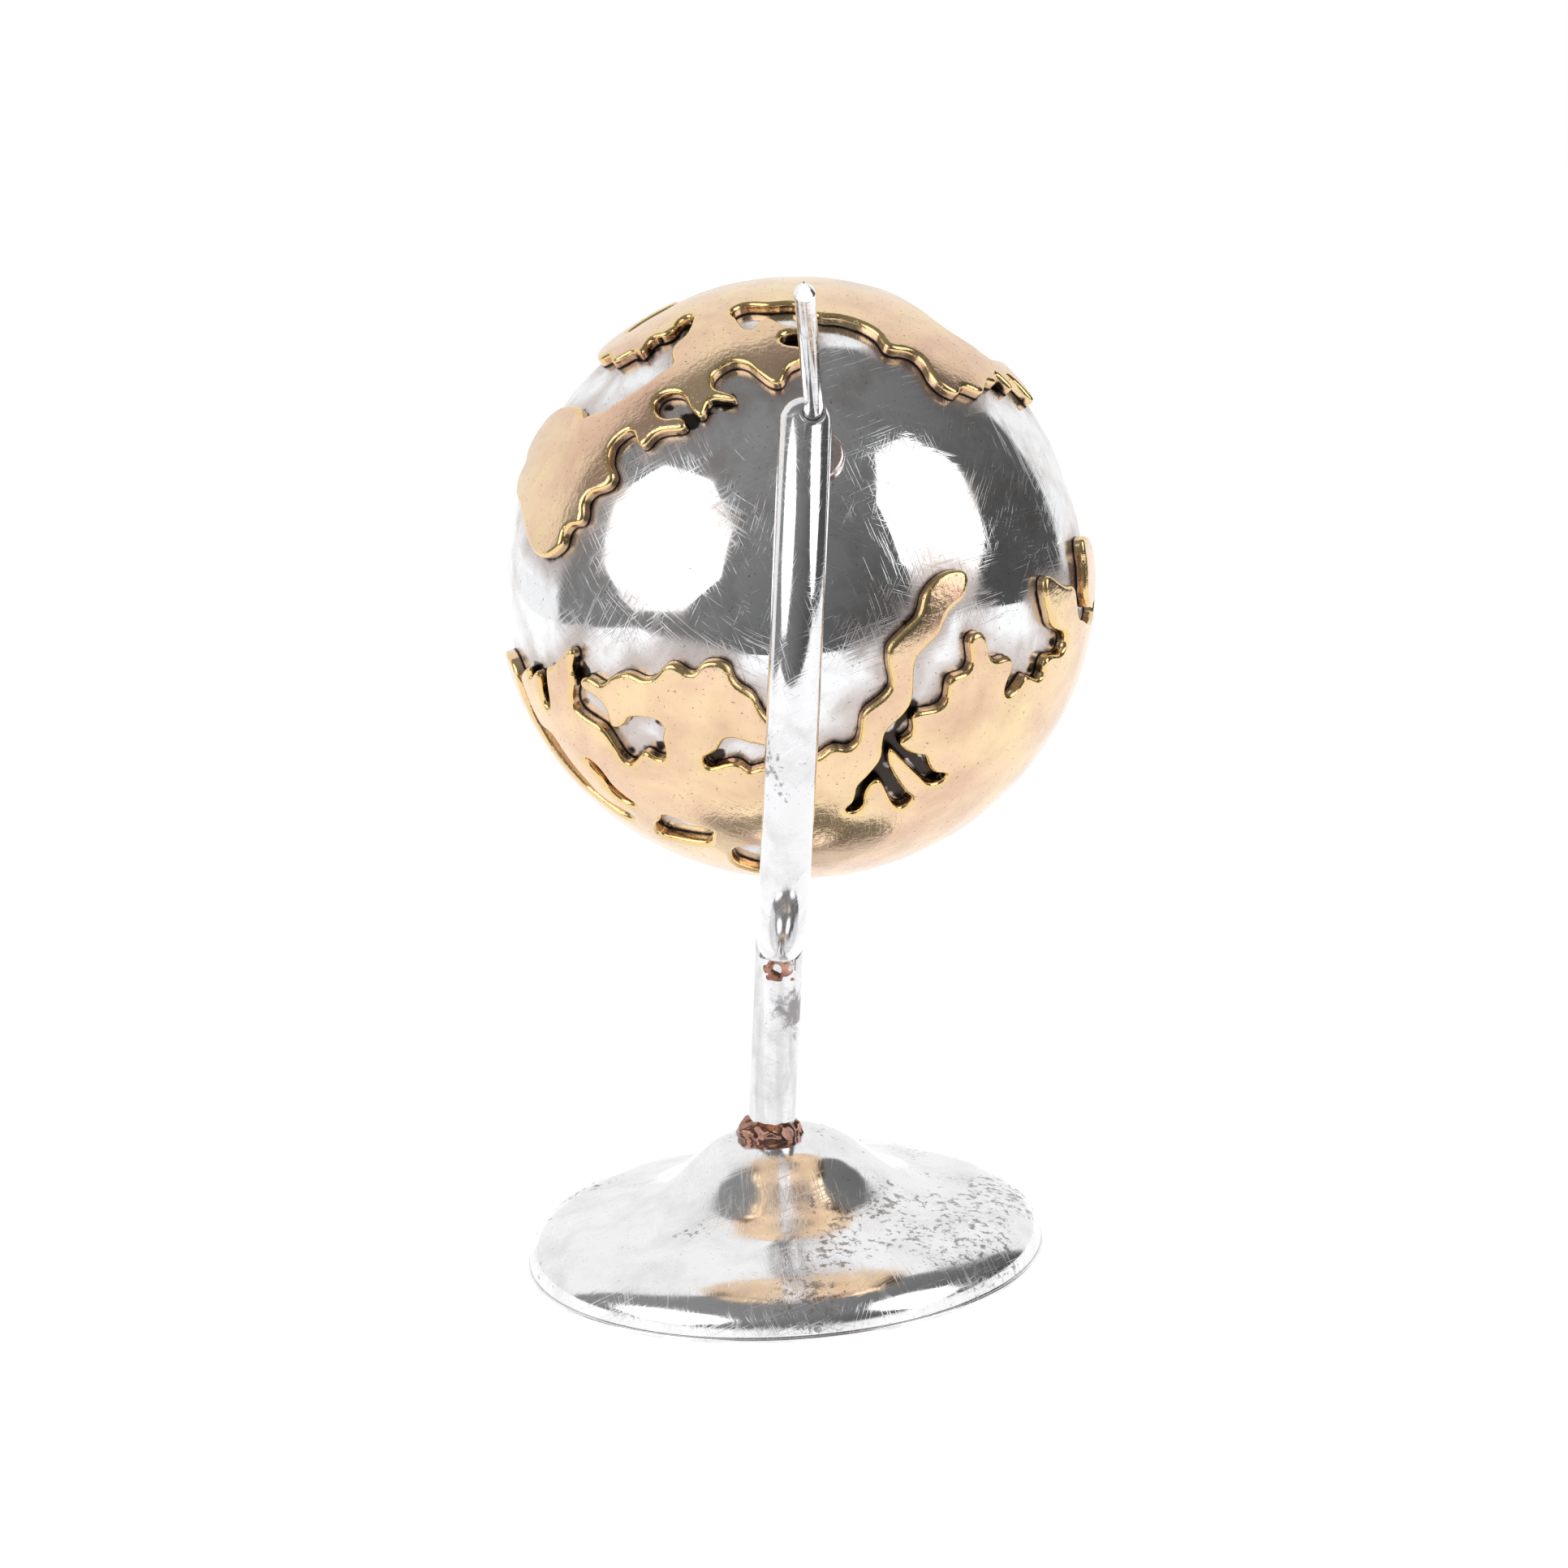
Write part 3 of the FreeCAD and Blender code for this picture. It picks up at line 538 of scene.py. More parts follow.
stem_silver = silver_plate("stem_silver", (0.36, 0.33, 0.32), 0.18, 260, 0.09, 0.7, 0.92)
tree = stem_silver.node_tree
shader = tree.nodes["Principled BSDF"]
plated = shader.inputs["Base Color"].links[0].from_socket
place = tree.nodes.new("ShaderNodeTexCoord").outputs["Object"]
# A dark mottled patch of painted shade, low on the stem's right front.
from_shade_patch = tree.nodes.new("ShaderNodeVectorMath")
from_shade_patch.operation = "DISTANCE"
from_shade_patch.inputs[1].default_value = stand_place @ SHADE_PATCH_SPOT
tree.links.new(place, from_shade_patch.inputs[0])
mottle = noise_node(tree, place, 900, 5.0, 0.3, 0.65)
closeness = remap(tree, from_shade_patch.outputs["Value"], 0.6 * MM, 4.2 * MM, 0.30, -0.15)
shade_patch = added(tree, closeness, mottle.outputs["Fac"])
shade_patch = remap(tree, shade_patch, 0.54, 0.74, 0.0, 0.85)
# Grey streaks along the tube: partly rubbing, partly painted reflection.
along_tube = tree.nodes.new("ShaderNodeMapping")
along_tube.inputs["Scale"].default_value = (1.0, 1.0, 0.10)
tree.links.new(place, along_tube.inputs["Vector"])
streak = noise_node(tree, along_tube.outputs["Vector"], 900, 3.0)
rub_and_painted_light = remap(tree, streak.outputs["Fac"], 0.42, 0.72, 0.0, 0.7)
rubbed_and_painted_light = blend_colour(tree, rub_and_painted_light, plated, (0.56, 0.55, 0.55))
tree.links.new(blend_colour(tree, shade_patch, rubbed_and_painted_light, (0.24, 0.22, 0.22)), shader.inputs["Base Color"])
stem_outline = [(STEM_RADIUS, STEM_TOP)]
for step in range(25):
    down = (foot_top + BELL_SINK - ARM_OUTSIDE) * step / 24
    stem_outline.append((STEM_RADIUS, -ARM_OUTSIDE - down))
stem_outline.append((STEM_RADIUS - STEM_WALL, -foot_top - BELL_SINK))
stem_outline.append((STEM_RADIUS - STEM_WALL, STEM_TOP))
stem = turned("stem_tube_plated", stem_outline, 96, stem_silver, stand_place, saddle)
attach(stem, "stand")
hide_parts("stem_tube")

# ============================================================ the arm
# A 5 mm round bar bent to a half circle, with its ends rounded over and drilled for the
# axle. A node tree sweeps the bar's section along the bend, and the bore is cut after.
POLE_RISE = math.radians(31.2)
ARM_YAW = math.radians(-0.7)
ARM_RADIUS = 37.5 * MM
BORE_RADIUS = 1.25 * MM
ARM_STATIONS = 220
ARM_SIDES = 96
arm_place = stand_place @ Matrix.Rotation(ARM_YAW, 4, "Z")


def bar_tree():
    """Sweep a round section along a curve whose point radius is the bar's own radius."""
    tree = bpy.data.node_groups.new("swept_bar", "GeometryNodeTree")
    for label, kind, in_out in (
        ("Path", "NodeSocketGeometry", "INPUT"), ("Sides", "NodeSocketInt", "INPUT"),
        ("Finish", "NodeSocketMaterial", "INPUT"), ("Bar", "NodeSocketGeometry", "OUTPUT"),
    ):
        tree.interface.new_socket(label, in_out=in_out, socket_type=kind)
    start = tree.nodes.new("NodeGroupInput")
    section = tree.nodes.new("GeometryNodeCurvePrimitiveCircle")
    section.inputs["Radius"].default_value = 1.0
    sweep = tree.nodes.new("GeometryNodeCurveToMesh")
    sweep.inputs["Fill Caps"].default_value = True
    if "Scale" in sweep.inputs:
        radius = tree.nodes.new("GeometryNodeInputRadius")
        tree.links.new(radius.outputs["Radius"], sweep.inputs["Scale"])
    real = tree.nodes.new("GeometryNodeRealizeInstances")
    smooth = tree.nodes.new("GeometryNodeSetShadeSmooth")
    finish = tree.nodes.new("GeometryNodeSetMaterial")
    end = tree.nodes.new("NodeGroupOutput")
    tree.links.new(start.outputs["Sides"], section.inputs["Resolution"])
    tree.links.new(start.outputs["Path"], sweep.inputs["Curve"])
    tree.links.new(section.outputs["Curve"], sweep.inputs["Profile Curve"])
    tree.links.new(sweep.outputs["Mesh"], smooth.inputs["Geometry"])
    tree.links.new(smooth.outputs["Geometry"], real.inputs["Geometry"])
    tree.links.new(real.outputs["Geometry"], finish.inputs["Geometry"])
    tree.links.new(start.outputs["Finish"], finish.inputs["Material"])
    tree.links.new(finish.outputs["Geometry"], end.inputs["Bar"])
    return tree


bar_sweep = bar_tree()


def swept(name, path, radii, sides, material):
    """A bar along a path of points with a radius at each, made by the node tree above."""
    curve = bpy.data.curves.new(name + "_path", "CURVE")
    curve.dimensions = "3D"
    line = curve.splines.new("POLY")
    line.points.add(len(path) - 1)
    for knot, point, radius in zip(line.points, path, radii):
        knot.co = (*point, 1)
        knot.radius = radius
    holder = bpy.data.objects.new(name + "_path", curve)
    bpy.context.scene.collection.objects.link(holder)
    modifier = holder.modifiers.new("sweep", "NODES")
    modifier.node_group = bar_sweep
    for socket in bar_sweep.interface.items_tree:
        if socket.in_out == "INPUT" and socket.name == "Sides":
            modifier[socket.identifier] = sides
        if socket.in_out == "INPUT" and socket.name == "Finish":
            modifier[socket.identifier] = material
    made = holder.evaluated_get(bpy.context.evaluated_depsgraph_get())
    mesh = bpy.data.meshes.new_from_object(made)
    mesh.name = name
    holder.modifiers.clear()
    bpy.data.objects.remove(holder)
    bpy.data.curves.remove(curve)
    face_outwards(mesh, join=1e-6)
    mesh.polygons.foreach_set("use_smooth", [True] * len(mesh.polygons))
    piece = bpy.data.objects.new(name, mesh)
    bpy.context.scene.collection.objects.link(piece)
    return piece


arm_silver = silver_plate("arm_silver", (0.45, 0.42, 0.40), 0.17, 220, 0.07, 0.6, 0.95)
arm_path = []
arm_radii = []
for step in range(1, 13):
    share = math.cos(math.radians(90 * step / 12))
    back = BAR_RADIUS * share
    arm_path.append((POLE_RISE, back))
    arm_radii.append(math.sqrt(max(BAR_RADIUS ** 2 - back ** 2, 1e-12)))
bend = [(POLE_RISE - math.pi * step / ARM_STATIONS, 0) for step in range(1, ARM_STATIONS)]
tail = [(POLE_RISE - math.pi, -back) for _, back in reversed(arm_path)]
stations = arm_path + bend + tail
radii = arm_radii + [BAR_RADIUS] * len(bend) + arm_radii[::-1]
path = []
for rise, past in stations:
    out = Vector((0, -math.cos(rise), math.sin(rise)))
    along = Vector((0, math.sin(rise), math.cos(rise)))
    path.append(arm_place @ (out * ARM_RADIUS + along * past))
arm = swept("meridian_arm_bar", path, radii, ARM_SIDES, arm_silver)

drill_place = Matrix.Translation(ball_middle) @ axle_way.to_track_quat("Z", "Y").to_matrix().to_4x4()
reach = ARM_OUTSIDE + BAR_RADIUS
drill = turned(
    "drill", [(0, reach), (BORE_RADIUS, reach), (BORE_RADIUS, -reach), (0, -reach)], 64,
    arm_silver, drill_place,
)
bore = arm.modifiers.new("bore", "BOOLEAN")
bore.operation = "DIFFERENCE"
bore.solver = "EXACT"
bore.object = drill
made = arm.evaluated_get(bpy.context.evaluated_depsgraph_get())
drilled = bpy.data.meshes.new_from_object(made)
arm.modifiers.clear()
arm.data = drilled
bpy.data.objects.remove(drill)
drilled.materials.clear()
drilled.materials.append(arm_silver)
drilled.set_sharp_from_angle(angle=math.radians(50))
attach(arm, "stand")
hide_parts("meridian_arm")

# ============================================================ the bushes
# Two short rings are pressed in the arm's ends, and the axle runs in them. Only their
# rims show, so the plain turned rings are kept and given their plating.
ring_silver = silver_plate("ring_silver", (0.40, 0.34, 0.30), 0.26, 500, 0.12, 0.6)


def plate_node(node, finish):
    """Give a ring that is kept as it came its own finish."""
    materials = frame["nodes"][node].data.materials
    materials.clear()
    materials.append(finish)


plate_node("arm_bush_upper", ring_silver)
plate_node("arm_bush_lower", ring_silver)

# ============================================================ the braze
# Copper-coloured filler holds the stem at both ends: a lumpy fillet on the foot, and a
# thin ragged seam where the saddle meets the bend.
LOWER_BRAZE_RADIUS = 3.7 * MM
LOWER_BRAZE_HEIGHT = 2.6 * MM
SEAM_LENGTH = 2.6 * MM
SEAM_FILM = 0.10 * MM
SEAM_DROP = 0.1 * MM
BRAZE_BITE = 0.3 * MM          # how far the filler's inside lies in the tube's wall

copper, tree, shader = new_material("copper_filler")
place = tree.nodes.new("ShaderNodeTexCoord").outputs["Object"]
shader.inputs["Metallic"].default_value = 1.0
cloud = use_group(tree, tarnish, place, Coarse=520.0, Amount=0.22)
grain = noise_node(tree, place, 620, 3.0)
patches = remap(tree, grain.outputs["Fac"], 0.35, 0.65)
warm = blend_colour(tree, patches, (0.58, 0.32, 0.24), (0.30, 0.14, 0.10))
dark = blend_colour(tree, cloud.outputs["Film"], warm, (0.13, 0.09, 0.08))
tree.links.new(dark, shader.inputs["Base Color"])
tree.links.new(remap(tree, grain.outputs["Fac"], 0.3, 0.7, 0.08, 0.24), shader.inputs["Roughness"])
bump(tree, shader, grain.outputs["Fac"], 0.07 * MM, 0.8)


def lumps(size, amount, seed):
    """A mover that pushes a turned piece's skin out and in, in soft lumps."""
    def push(point):
        away = Vector((point.x, point.y, 0))
        if away.length < 1e-7:
            return Vector((0, 0, 0))
        swell = noise.fractal(point / size + Vector((seed, 0, 0)), 1.0, 2.0, 2)
        return away.normalized() * swell * amount
    return push


fillet = [
    (STEM_RADIUS - BRAZE_BITE, -foot_top - BELL_SINK),
    (STEM_RADIUS - BRAZE_BITE, -foot_top + LOWER_BRAZE_HEIGHT),
]
for step in range(19):
    swing = math.radians(90) * step / 18
    across = STEM_RADIUS + (LOWER_BRAZE_RADIUS - STEM_RADIUS) * math.sin(swing) ** 1.6 * 0.86
    up = LOWER_BRAZE_HEIGHT * math.cos(swing) ** 1.2 * 0.75
    fillet.append((across, -foot_top + up))
fillet.append((LOWER_BRAZE_RADIUS, -foot_top - BELL_SINK))
lower_braze = turned("braze_fillet", fillet, 120, copper, stand_place, lumps(1.9 * MM, 0.75 * MM, 4.0))
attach(lower_braze, "stand")
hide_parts("stem_braze_lower")

seam_lumps = lumps(1.5 * MM, 0.22 * MM, 9.0)


def front_and_back(point):
    """The filler stands proud in the saddle's two open sides and sinks away between."""
    around = math.atan2(point.x, -point.y)
    away = Vector((point.x, point.y, 0)).normalized()
    return seam_lumps(point) - away * 0.30 * MM * math.sin(around) ** 2


seam = [(STEM_RADIUS - BRAZE_BITE, -ARM_OUTSIDE - SEAM_DROP - SEAM_LENGTH)]
for step in range(17):
    share = step / 16
    swell = math.sin(math.pi * share) ** 0.7
    across = STEM_RADIUS - 0.06 * MM + SEAM_FILM * swell
    seam.append((across, -ARM_OUTSIDE - SEAM_DROP - SEAM_LENGTH * (1 - share)))
seam.append((STEM_RADIUS - BRAZE_BITE, -ARM_OUTSIDE - SEAM_DROP))
upper_braze = turned("braze_seam", seam, 120, copper, stand_place, front_and_back)
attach(upper_braze, "stand")
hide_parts("stem_braze_upper")

# ============================================================ the axle
# A 1.85 mm rod runs through the ball and both ends of the arm. Its lower end is peened to
# a head, and its long upper end stands free, slightly bent, with a filed tip.
AXLE_RADIUS = 0.925 * MM
BUSH_OUTER = 40.15 * MM
END_PLAY = 0.1 * MM
HEAD_HEIGHT = 0.7 * MM
HEAD_RADIUS = 1.6 * MM
FREE_END = 24.3 * MM
BEND_START = 1 * MM            # from the upper bush to where the bend begins
BEND_ANGLE = math.radians(4.6)
BEND_RADIUS = 12.0 * MM
TIP_STEPS = 14

rod_silver = silver_plate("rod_silver", (0.45, 0.42, 0.40), 0.12, 400, 0.07, 0.8)
over = axle_way.cross(Vector((-math.cos(STEM_LEAN), 0, math.sin(STEM_LEAN)))).normalized()
side = over.cross(axle_way)
head_inner = -(BUSH_OUTER + END_PLAY)
rod_path = []
rod_radii = []
for step in range(7):
    angle = math.radians(90) * step / 6
    rod_path.append(ball_middle + axle_way * (head_inner - HEAD_HEIGHT * math.cos(angle)))
    rod_radii.append(max(HEAD_RADIUS * math.sin(angle) ** 0.6, 1e-6))
rod_path.append(ball_middle + axle_way * (head_inner + 0.01 * MM))
rod_radii.append(AXLE_RADIUS)
for step in range(41):
    share = step / 40
    along = head_inner * (1 - share) + (BUSH_OUTER + BEND_START) * share + 0.02 * MM
    rod_path.append(ball_middle + axle_way * along)
    rod_radii.append(AXLE_RADIUS)
bend_start = ball_middle + axle_way * (BUSH_OUTER + BEND_START)
for step in range(1, 13):
    angle = BEND_ANGLE * step / 12
    aside = side * (BEND_RADIUS * (1 - math.cos(angle)))
    rod_path.append(bend_start + axle_way * (BEND_RADIUS * math.sin(angle)) + aside)
    rod_radii.append(AXLE_RADIUS)
end_way = axle_way * math.cos(BEND_ANGLE) + side * math.sin(BEND_ANGLE)
straight = FREE_END - BEND_START - BEND_RADIUS * BEND_ANGLE
bend_end = rod_path[-1]
tip_start = bend_end + end_way * (straight - AXLE_RADIUS)
for step in range(1, 21):
    rod_path.append(bend_end.lerp(tip_start, step / 20))
    rod_radii.append(AXLE_RADIUS)
for step in range(1, TIP_STEPS + 1):
    rod_path.append(tip_start + end_way * (2 * AXLE_RADIUS * step / TIP_STEPS))
    rod_radii.append(AXLE_RADIUS)
rod = swept("axle_rod", rod_path, rod_radii, 64, rod_silver)
ridge = end_way.cross(Vector((1, 0, 0))).normalized()
flank = ridge.cross(end_way)
for vertex in rod.data.vertices:
    past = (vertex.co - tip_start).dot(end_way) / (2 * AXLE_RADIUS)
    if past > 0:
        across = vertex.co - tip_start - end_way * past * 2 * AXLE_RADIUS
        turn = across.normalized()
        square = 1 / (abs(turn.dot(ridge)) + abs(turn.dot(flank)))
        vertex.co += across * ((1 - 0.86 * past) * (1 - past + past * square) - 1)
rod.data.set_sharp_from_angle(angle=math.radians(16))
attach(rod, "globe")
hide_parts("axle")

# ============================================================ the washers and the sleeve
# A thick washer is soldered where the rod enters the ball at each pole, a little off the
# rod's middle, and a short sleeve on the rod carries the ball on the arm's lower end.
WASHER_RADIUS = 2.6 * MM
WASHER_THICKNESS = 1.2 * MM
WASHER_OFFSET = 0.9 * MM
WASHER_ROUND = 0.42 * MM
BALL_RADIUS = 30.0 * MM

upright = Vector((math.cos(STEM_LEAN), 0, -math.sin(STEM_LEAN)))
off_middle = (upright - axle_way * axle_way.dot(upright)).normalized() * WASHER_OFFSET
washer_silver = silver_plate("washer_silver", (0.62, 0.36, 0.29), 0.55, 420, 0.08, 0.6)
for pole, way in (("upper", 1), ("lower", -1)):
    outline = [(0, -1.0 * MM), (WASHER_RADIUS, -1.0 * MM), (WASHER_RADIUS, -0.2 * MM)]
    outline += round_edge(
        WASHER_RADIUS - WASHER_ROUND, WASHER_THICKNESS - WASHER_ROUND, WASHER_ROUND,
        [11.25 * step for step in range(9)],
    )
    outline.append((0, WASHER_THICKNESS))
    facing = (axle_way * way).to_track_quat("Z", "Y").to_matrix().to_4x4()
    place = Matrix.Translation(ball_middle + off_middle + axle_way * way * BALL_RADIUS) @ facing
    washer = turned("washer_" + pole, outline, 96, washer_silver, place, lumps(2.2 * MM, 0.05 * MM, 2.0))
    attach(washer, "globe")
    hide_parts("pole_washer_" + pole)
plate_node("thrust_sleeve", ring_silver)

# ============================================================ the land
# Each land is a piece of brass sheet cut to its coast, bent to the ball and soldered on.
# Its edges are filed round and rubbed, with a painted highlight along them; its walls and
# creeks are black, partly with oxide and partly with painted shade.
LAND_THICKNESS = 1.2 * MM
LAND_SINK = 0.12 * MM
EDGE_ROUND = 0.46 * MM
COAST_SPACING = 0.36 * MM
INLAND_SPACING = 0.85 * MM
UNDERSIDE_SPACING = 2.6 * MM
CREEK_REACH = 1.4 * MM
EDGE_RINGS = (0.03, 0.11, 0.23, 0.40, 0.65)
WALL_RINGS = ((0.10, -0.12), (0.03, 0.12), (0.0, 0.40))
LANDS = [
    "land_upper", "land_lower", "land_right_isle", "land_far", "land_tail",
    "land_isle_far_north", "land_isle_far_south", "land_isle_strait", "land_isle_low",
]
land_radius = BALL_RADIUS + LAND_THICKNESS

brass, tree, shader = new_material("rubbed_brass")
place = tree.nodes.new("ShaderNodeTexCoord").outputs["Object"]
wall = tree.nodes.new("ShaderNodeAttribute")
wall.attribute_name = "wall"
# The rubbed edge is a bright band on the edge's rounding: partly rubbing, partly a painted highlight.
rub_and_painted_light = tree.nodes.new("ShaderNodeAttribute")
rub_and_painted_light.attribute_name = "rubbed_edge_and_highlight"
shader.inputs["Metallic"].default_value = 1.0
cloud = use_group(tree, tarnish, place, Coarse=140.0, Amount=0.24)
lines = use_group(tree, hairlines, place, Fineness=0.8, Share=0.5)
tone = noise_node(tree, place, 95, 4.0, 0.6)
tones = remap(tree, tone.outputs["Fac"], 0.35, 0.68)
warm = blend_colour(tree, tones, (0.93, 0.72, 0.43), (0.88, 0.61, 0.44))
film = scaled(tree, cloud.outputs["Film"], 0.7)
worn = blend_colour(tree, film, warm, (0.62, 0.38, 0.28))
specks = scaled(tree, cloud.outputs["Specks"], 0.75)
pitted = blend_colour(tree, specks, worn, (0.22, 0.15, 0.10))
rubbed_and_highlit = blend_colour(tree, scaled(tree, rub_and_painted_light.outputs["Fac"], 0.85), pitted, (0.86, 0.63, 0.26))
# Near black on the walls, at their foot and in creeks: partly oxide, partly painted shade, mottled.
black_mottle = noise_node(tree, place, 900, 4.0)
oxide_and_shade = added(tree, wall.outputs["Fac"], scaled(tree, black_mottle.outputs["Fac"], 0.4))
oxide_and_shade = remap(tree, oxide_and_shade, 0.70, 0.98)
oxide_and_shade_colour = blend_colour(tree, oxide_and_shade, rubbed_and_highlit, (0.035, 0.026, 0.022))
tree.links.new(oxide_and_shade_colour, shader.inputs["Base Color"])
sheen = added(
    tree, remap(tree, tone.outputs["Fac"], 0.3, 0.7, 0.11, 0.21),
    scaled(tree, rub_and_painted_light.outputs["Fac"], -0.08), scaled(tree, oxide_and_shade, 0.3),
)
tree.links.new(sheen, shader.inputs["Roughness"])
pit = noise_node(tree, place, 1900, 3.0)
dents = added(
    tree, scaled(tree, tone.outputs["Fac"], 4.0), scaled(tree, lines.outputs["Lines"], -0.4),
    scaled(tree, cloud.outputs["Specks"], -1.2),
    scaled(tree, remap(tree, pit.outputs["Fac"], 0.35, 0.6), 0.35),
)
bump(tree, shader, dents, 0.02 * MM)


def shore_loops(node):
    """The closed outlines of a land's outer skin, as unit vectors from the ball's middle."""
    skin = bmesh.new()
    skin.from_mesh(frame["nodes"][node].data)
    bmesh.ops.remove_doubles(skin, verts=skin.verts, dist=1e-6)
    top = land_radius - 0.02 * MM
    inland = [f for f in skin.faces if all((v.co - ball_middle).length > top for v in f.verts)]
    kept = set(inland)
    after = {}
    for face in inland:
        for loop in face.loops:
            if not any(other in kept for other in loop.edge.link_faces if other != face):
                after[loop.vert.index] = loop.link_loop_next.vert.index
    places = {v.index: (v.co - ball_middle).normalized() for v in skin.verts}
    skin.free()
    loops = []
    while after:
        here = next(iter(after))
        ring = []
        while here in after:
            ring.append(places[here])
            here = after.pop(here)
        loops.append(ring)
    return loops


def even_spacing(ring, gap):
    """The same closed outline with smoothed points about one gap apart."""
    count = len(ring)
    lengths = [(ring[i] - ring[(i + 1) % count]).length for i in range(count)]
    total = sum(lengths)
    wanted = max(12, int(total / gap))
    spaced = []
    index = 0
    walked = 0.0
    for step in range(wanted):
        target = total * step / wanted
        while walked + lengths[index] < target:
            walked += lengths[index]
            index += 1
        share = (target - walked) / max(lengths[index], 1e-9)
        spaced.append(ring[index].lerp(ring[(index + 1) % count], share))
    for _ in range(2):
        spaced = [
            (spaced[i - 1] + spaced[i] * 2 + spaced[(i + 1) % wanted]) / 4 for i in range(wanted)
        ]
    return [point.normalized() for point in spaced]


class Chart:
    """A flat, angle-true map of the ball round one direction: lengths there are in metres
    near the middle."""

    def __init__(self, middle):
        self.middle = middle.normalized()
        self.across = self.middle.orthogonal().normalized()
        self.up = self.middle.cross(self.across)

    def flat(self, way):
        stretch = 2 * land_radius / (1 + way.dot(self.middle))
        return Vector((way.dot(self.across), way.dot(self.up))) * stretch

    def round(self, spot):
        size = spot.length_squared / (4 * land_radius ** 2)
        flat = self.across * spot.x + self.up * spot.y
        return (self.middle * (1 - size) + flat / land_radius) / (1 + size)


def inside(loops, grid):
    """Which points of an array lie inside an even-odd set of flat loops."""
    within = np.zeros(len(grid), bool)
    for loop in loops:
        ends = np.array([(p.x, p.y) for p in loop])
        starts = np.roll(ends, 1, axis=0)
        for (ax, ay), (bx, by) in zip(starts, ends):
            crosses = (ay > grid[:, 1]) != (by > grid[:, 1])
            if ay != by:
                at = ax + (grid[:, 1] - ay) * (bx - ax) / (by - ay)
                within ^= crosses & (grid[:, 0] < at)
    return within


def flat_mesh(loops, free):
    """Triangles between flat loops, through free points. The loops come first."""
    points = []
    edges = []
    for loop in loops:
        first = len(points)
        points += loop
        edges += [(first + i, first + (i + 1) % len(loop)) for i in range(len(loop))]
    made = geometry.delaunay_2d_cdt(points + free, edges, [], 0, 1e-9)
    corners = np.array([(p.x, p.y) for p in made[0]])
    triangles = np.array([face[:3] for face in made[2]])
    middles = corners[triangles].mean(axis=1)
    keep = inside(loops, middles)
    return made[0], [tuple(face) for face in triangles[keep]], made[3]


def scattered(chart, loops, gap, shore, clear, draw):
    """Free points inland, one gap apart, at least clear from the nearest shore point."""
    spots = [spot for loop in loops for spot in loop]
    low = Vector((min(s.x for s in spots), min(s.y for s in spots)))
    high = Vector((max(s.x for s in spots), max(s.y for s in spots)))
    grid = []
    rows = int((high.y - low.y) / gap) + 1
    columns = int((high.x - low.x) / gap) + 1
    for row in range(rows):
        for column in range(columns):
            x = low.x + (column + 0.5 * (row % 2) + draw.uniform(-0.2, 0.2)) * gap
            y = low.y + (row + draw.uniform(-0.2, 0.2)) * gap
            grid.append((x, y))
    grid = np.array(grid)
    grid = grid[inside(loops, grid)]
    kept = []
    for x, y in grid:
        spot = Vector((x, y))
        if shore.find(chart.round(spot))[2] * land_radius > clear:
            kept.append(spot)
    return kept


def creek_share(shore, way):
    """How narrow the water is at a place: 0 by an open coast, 1 in a creek."""
    close = len(shore.find_range(way, CREEK_REACH / BALL_RADIUS))
    open_coast = 2 * CREEK_REACH / COAST_SPACING
    return min(max((close / open_coast - 1.15) / 0.5, 0.0), 1.0)


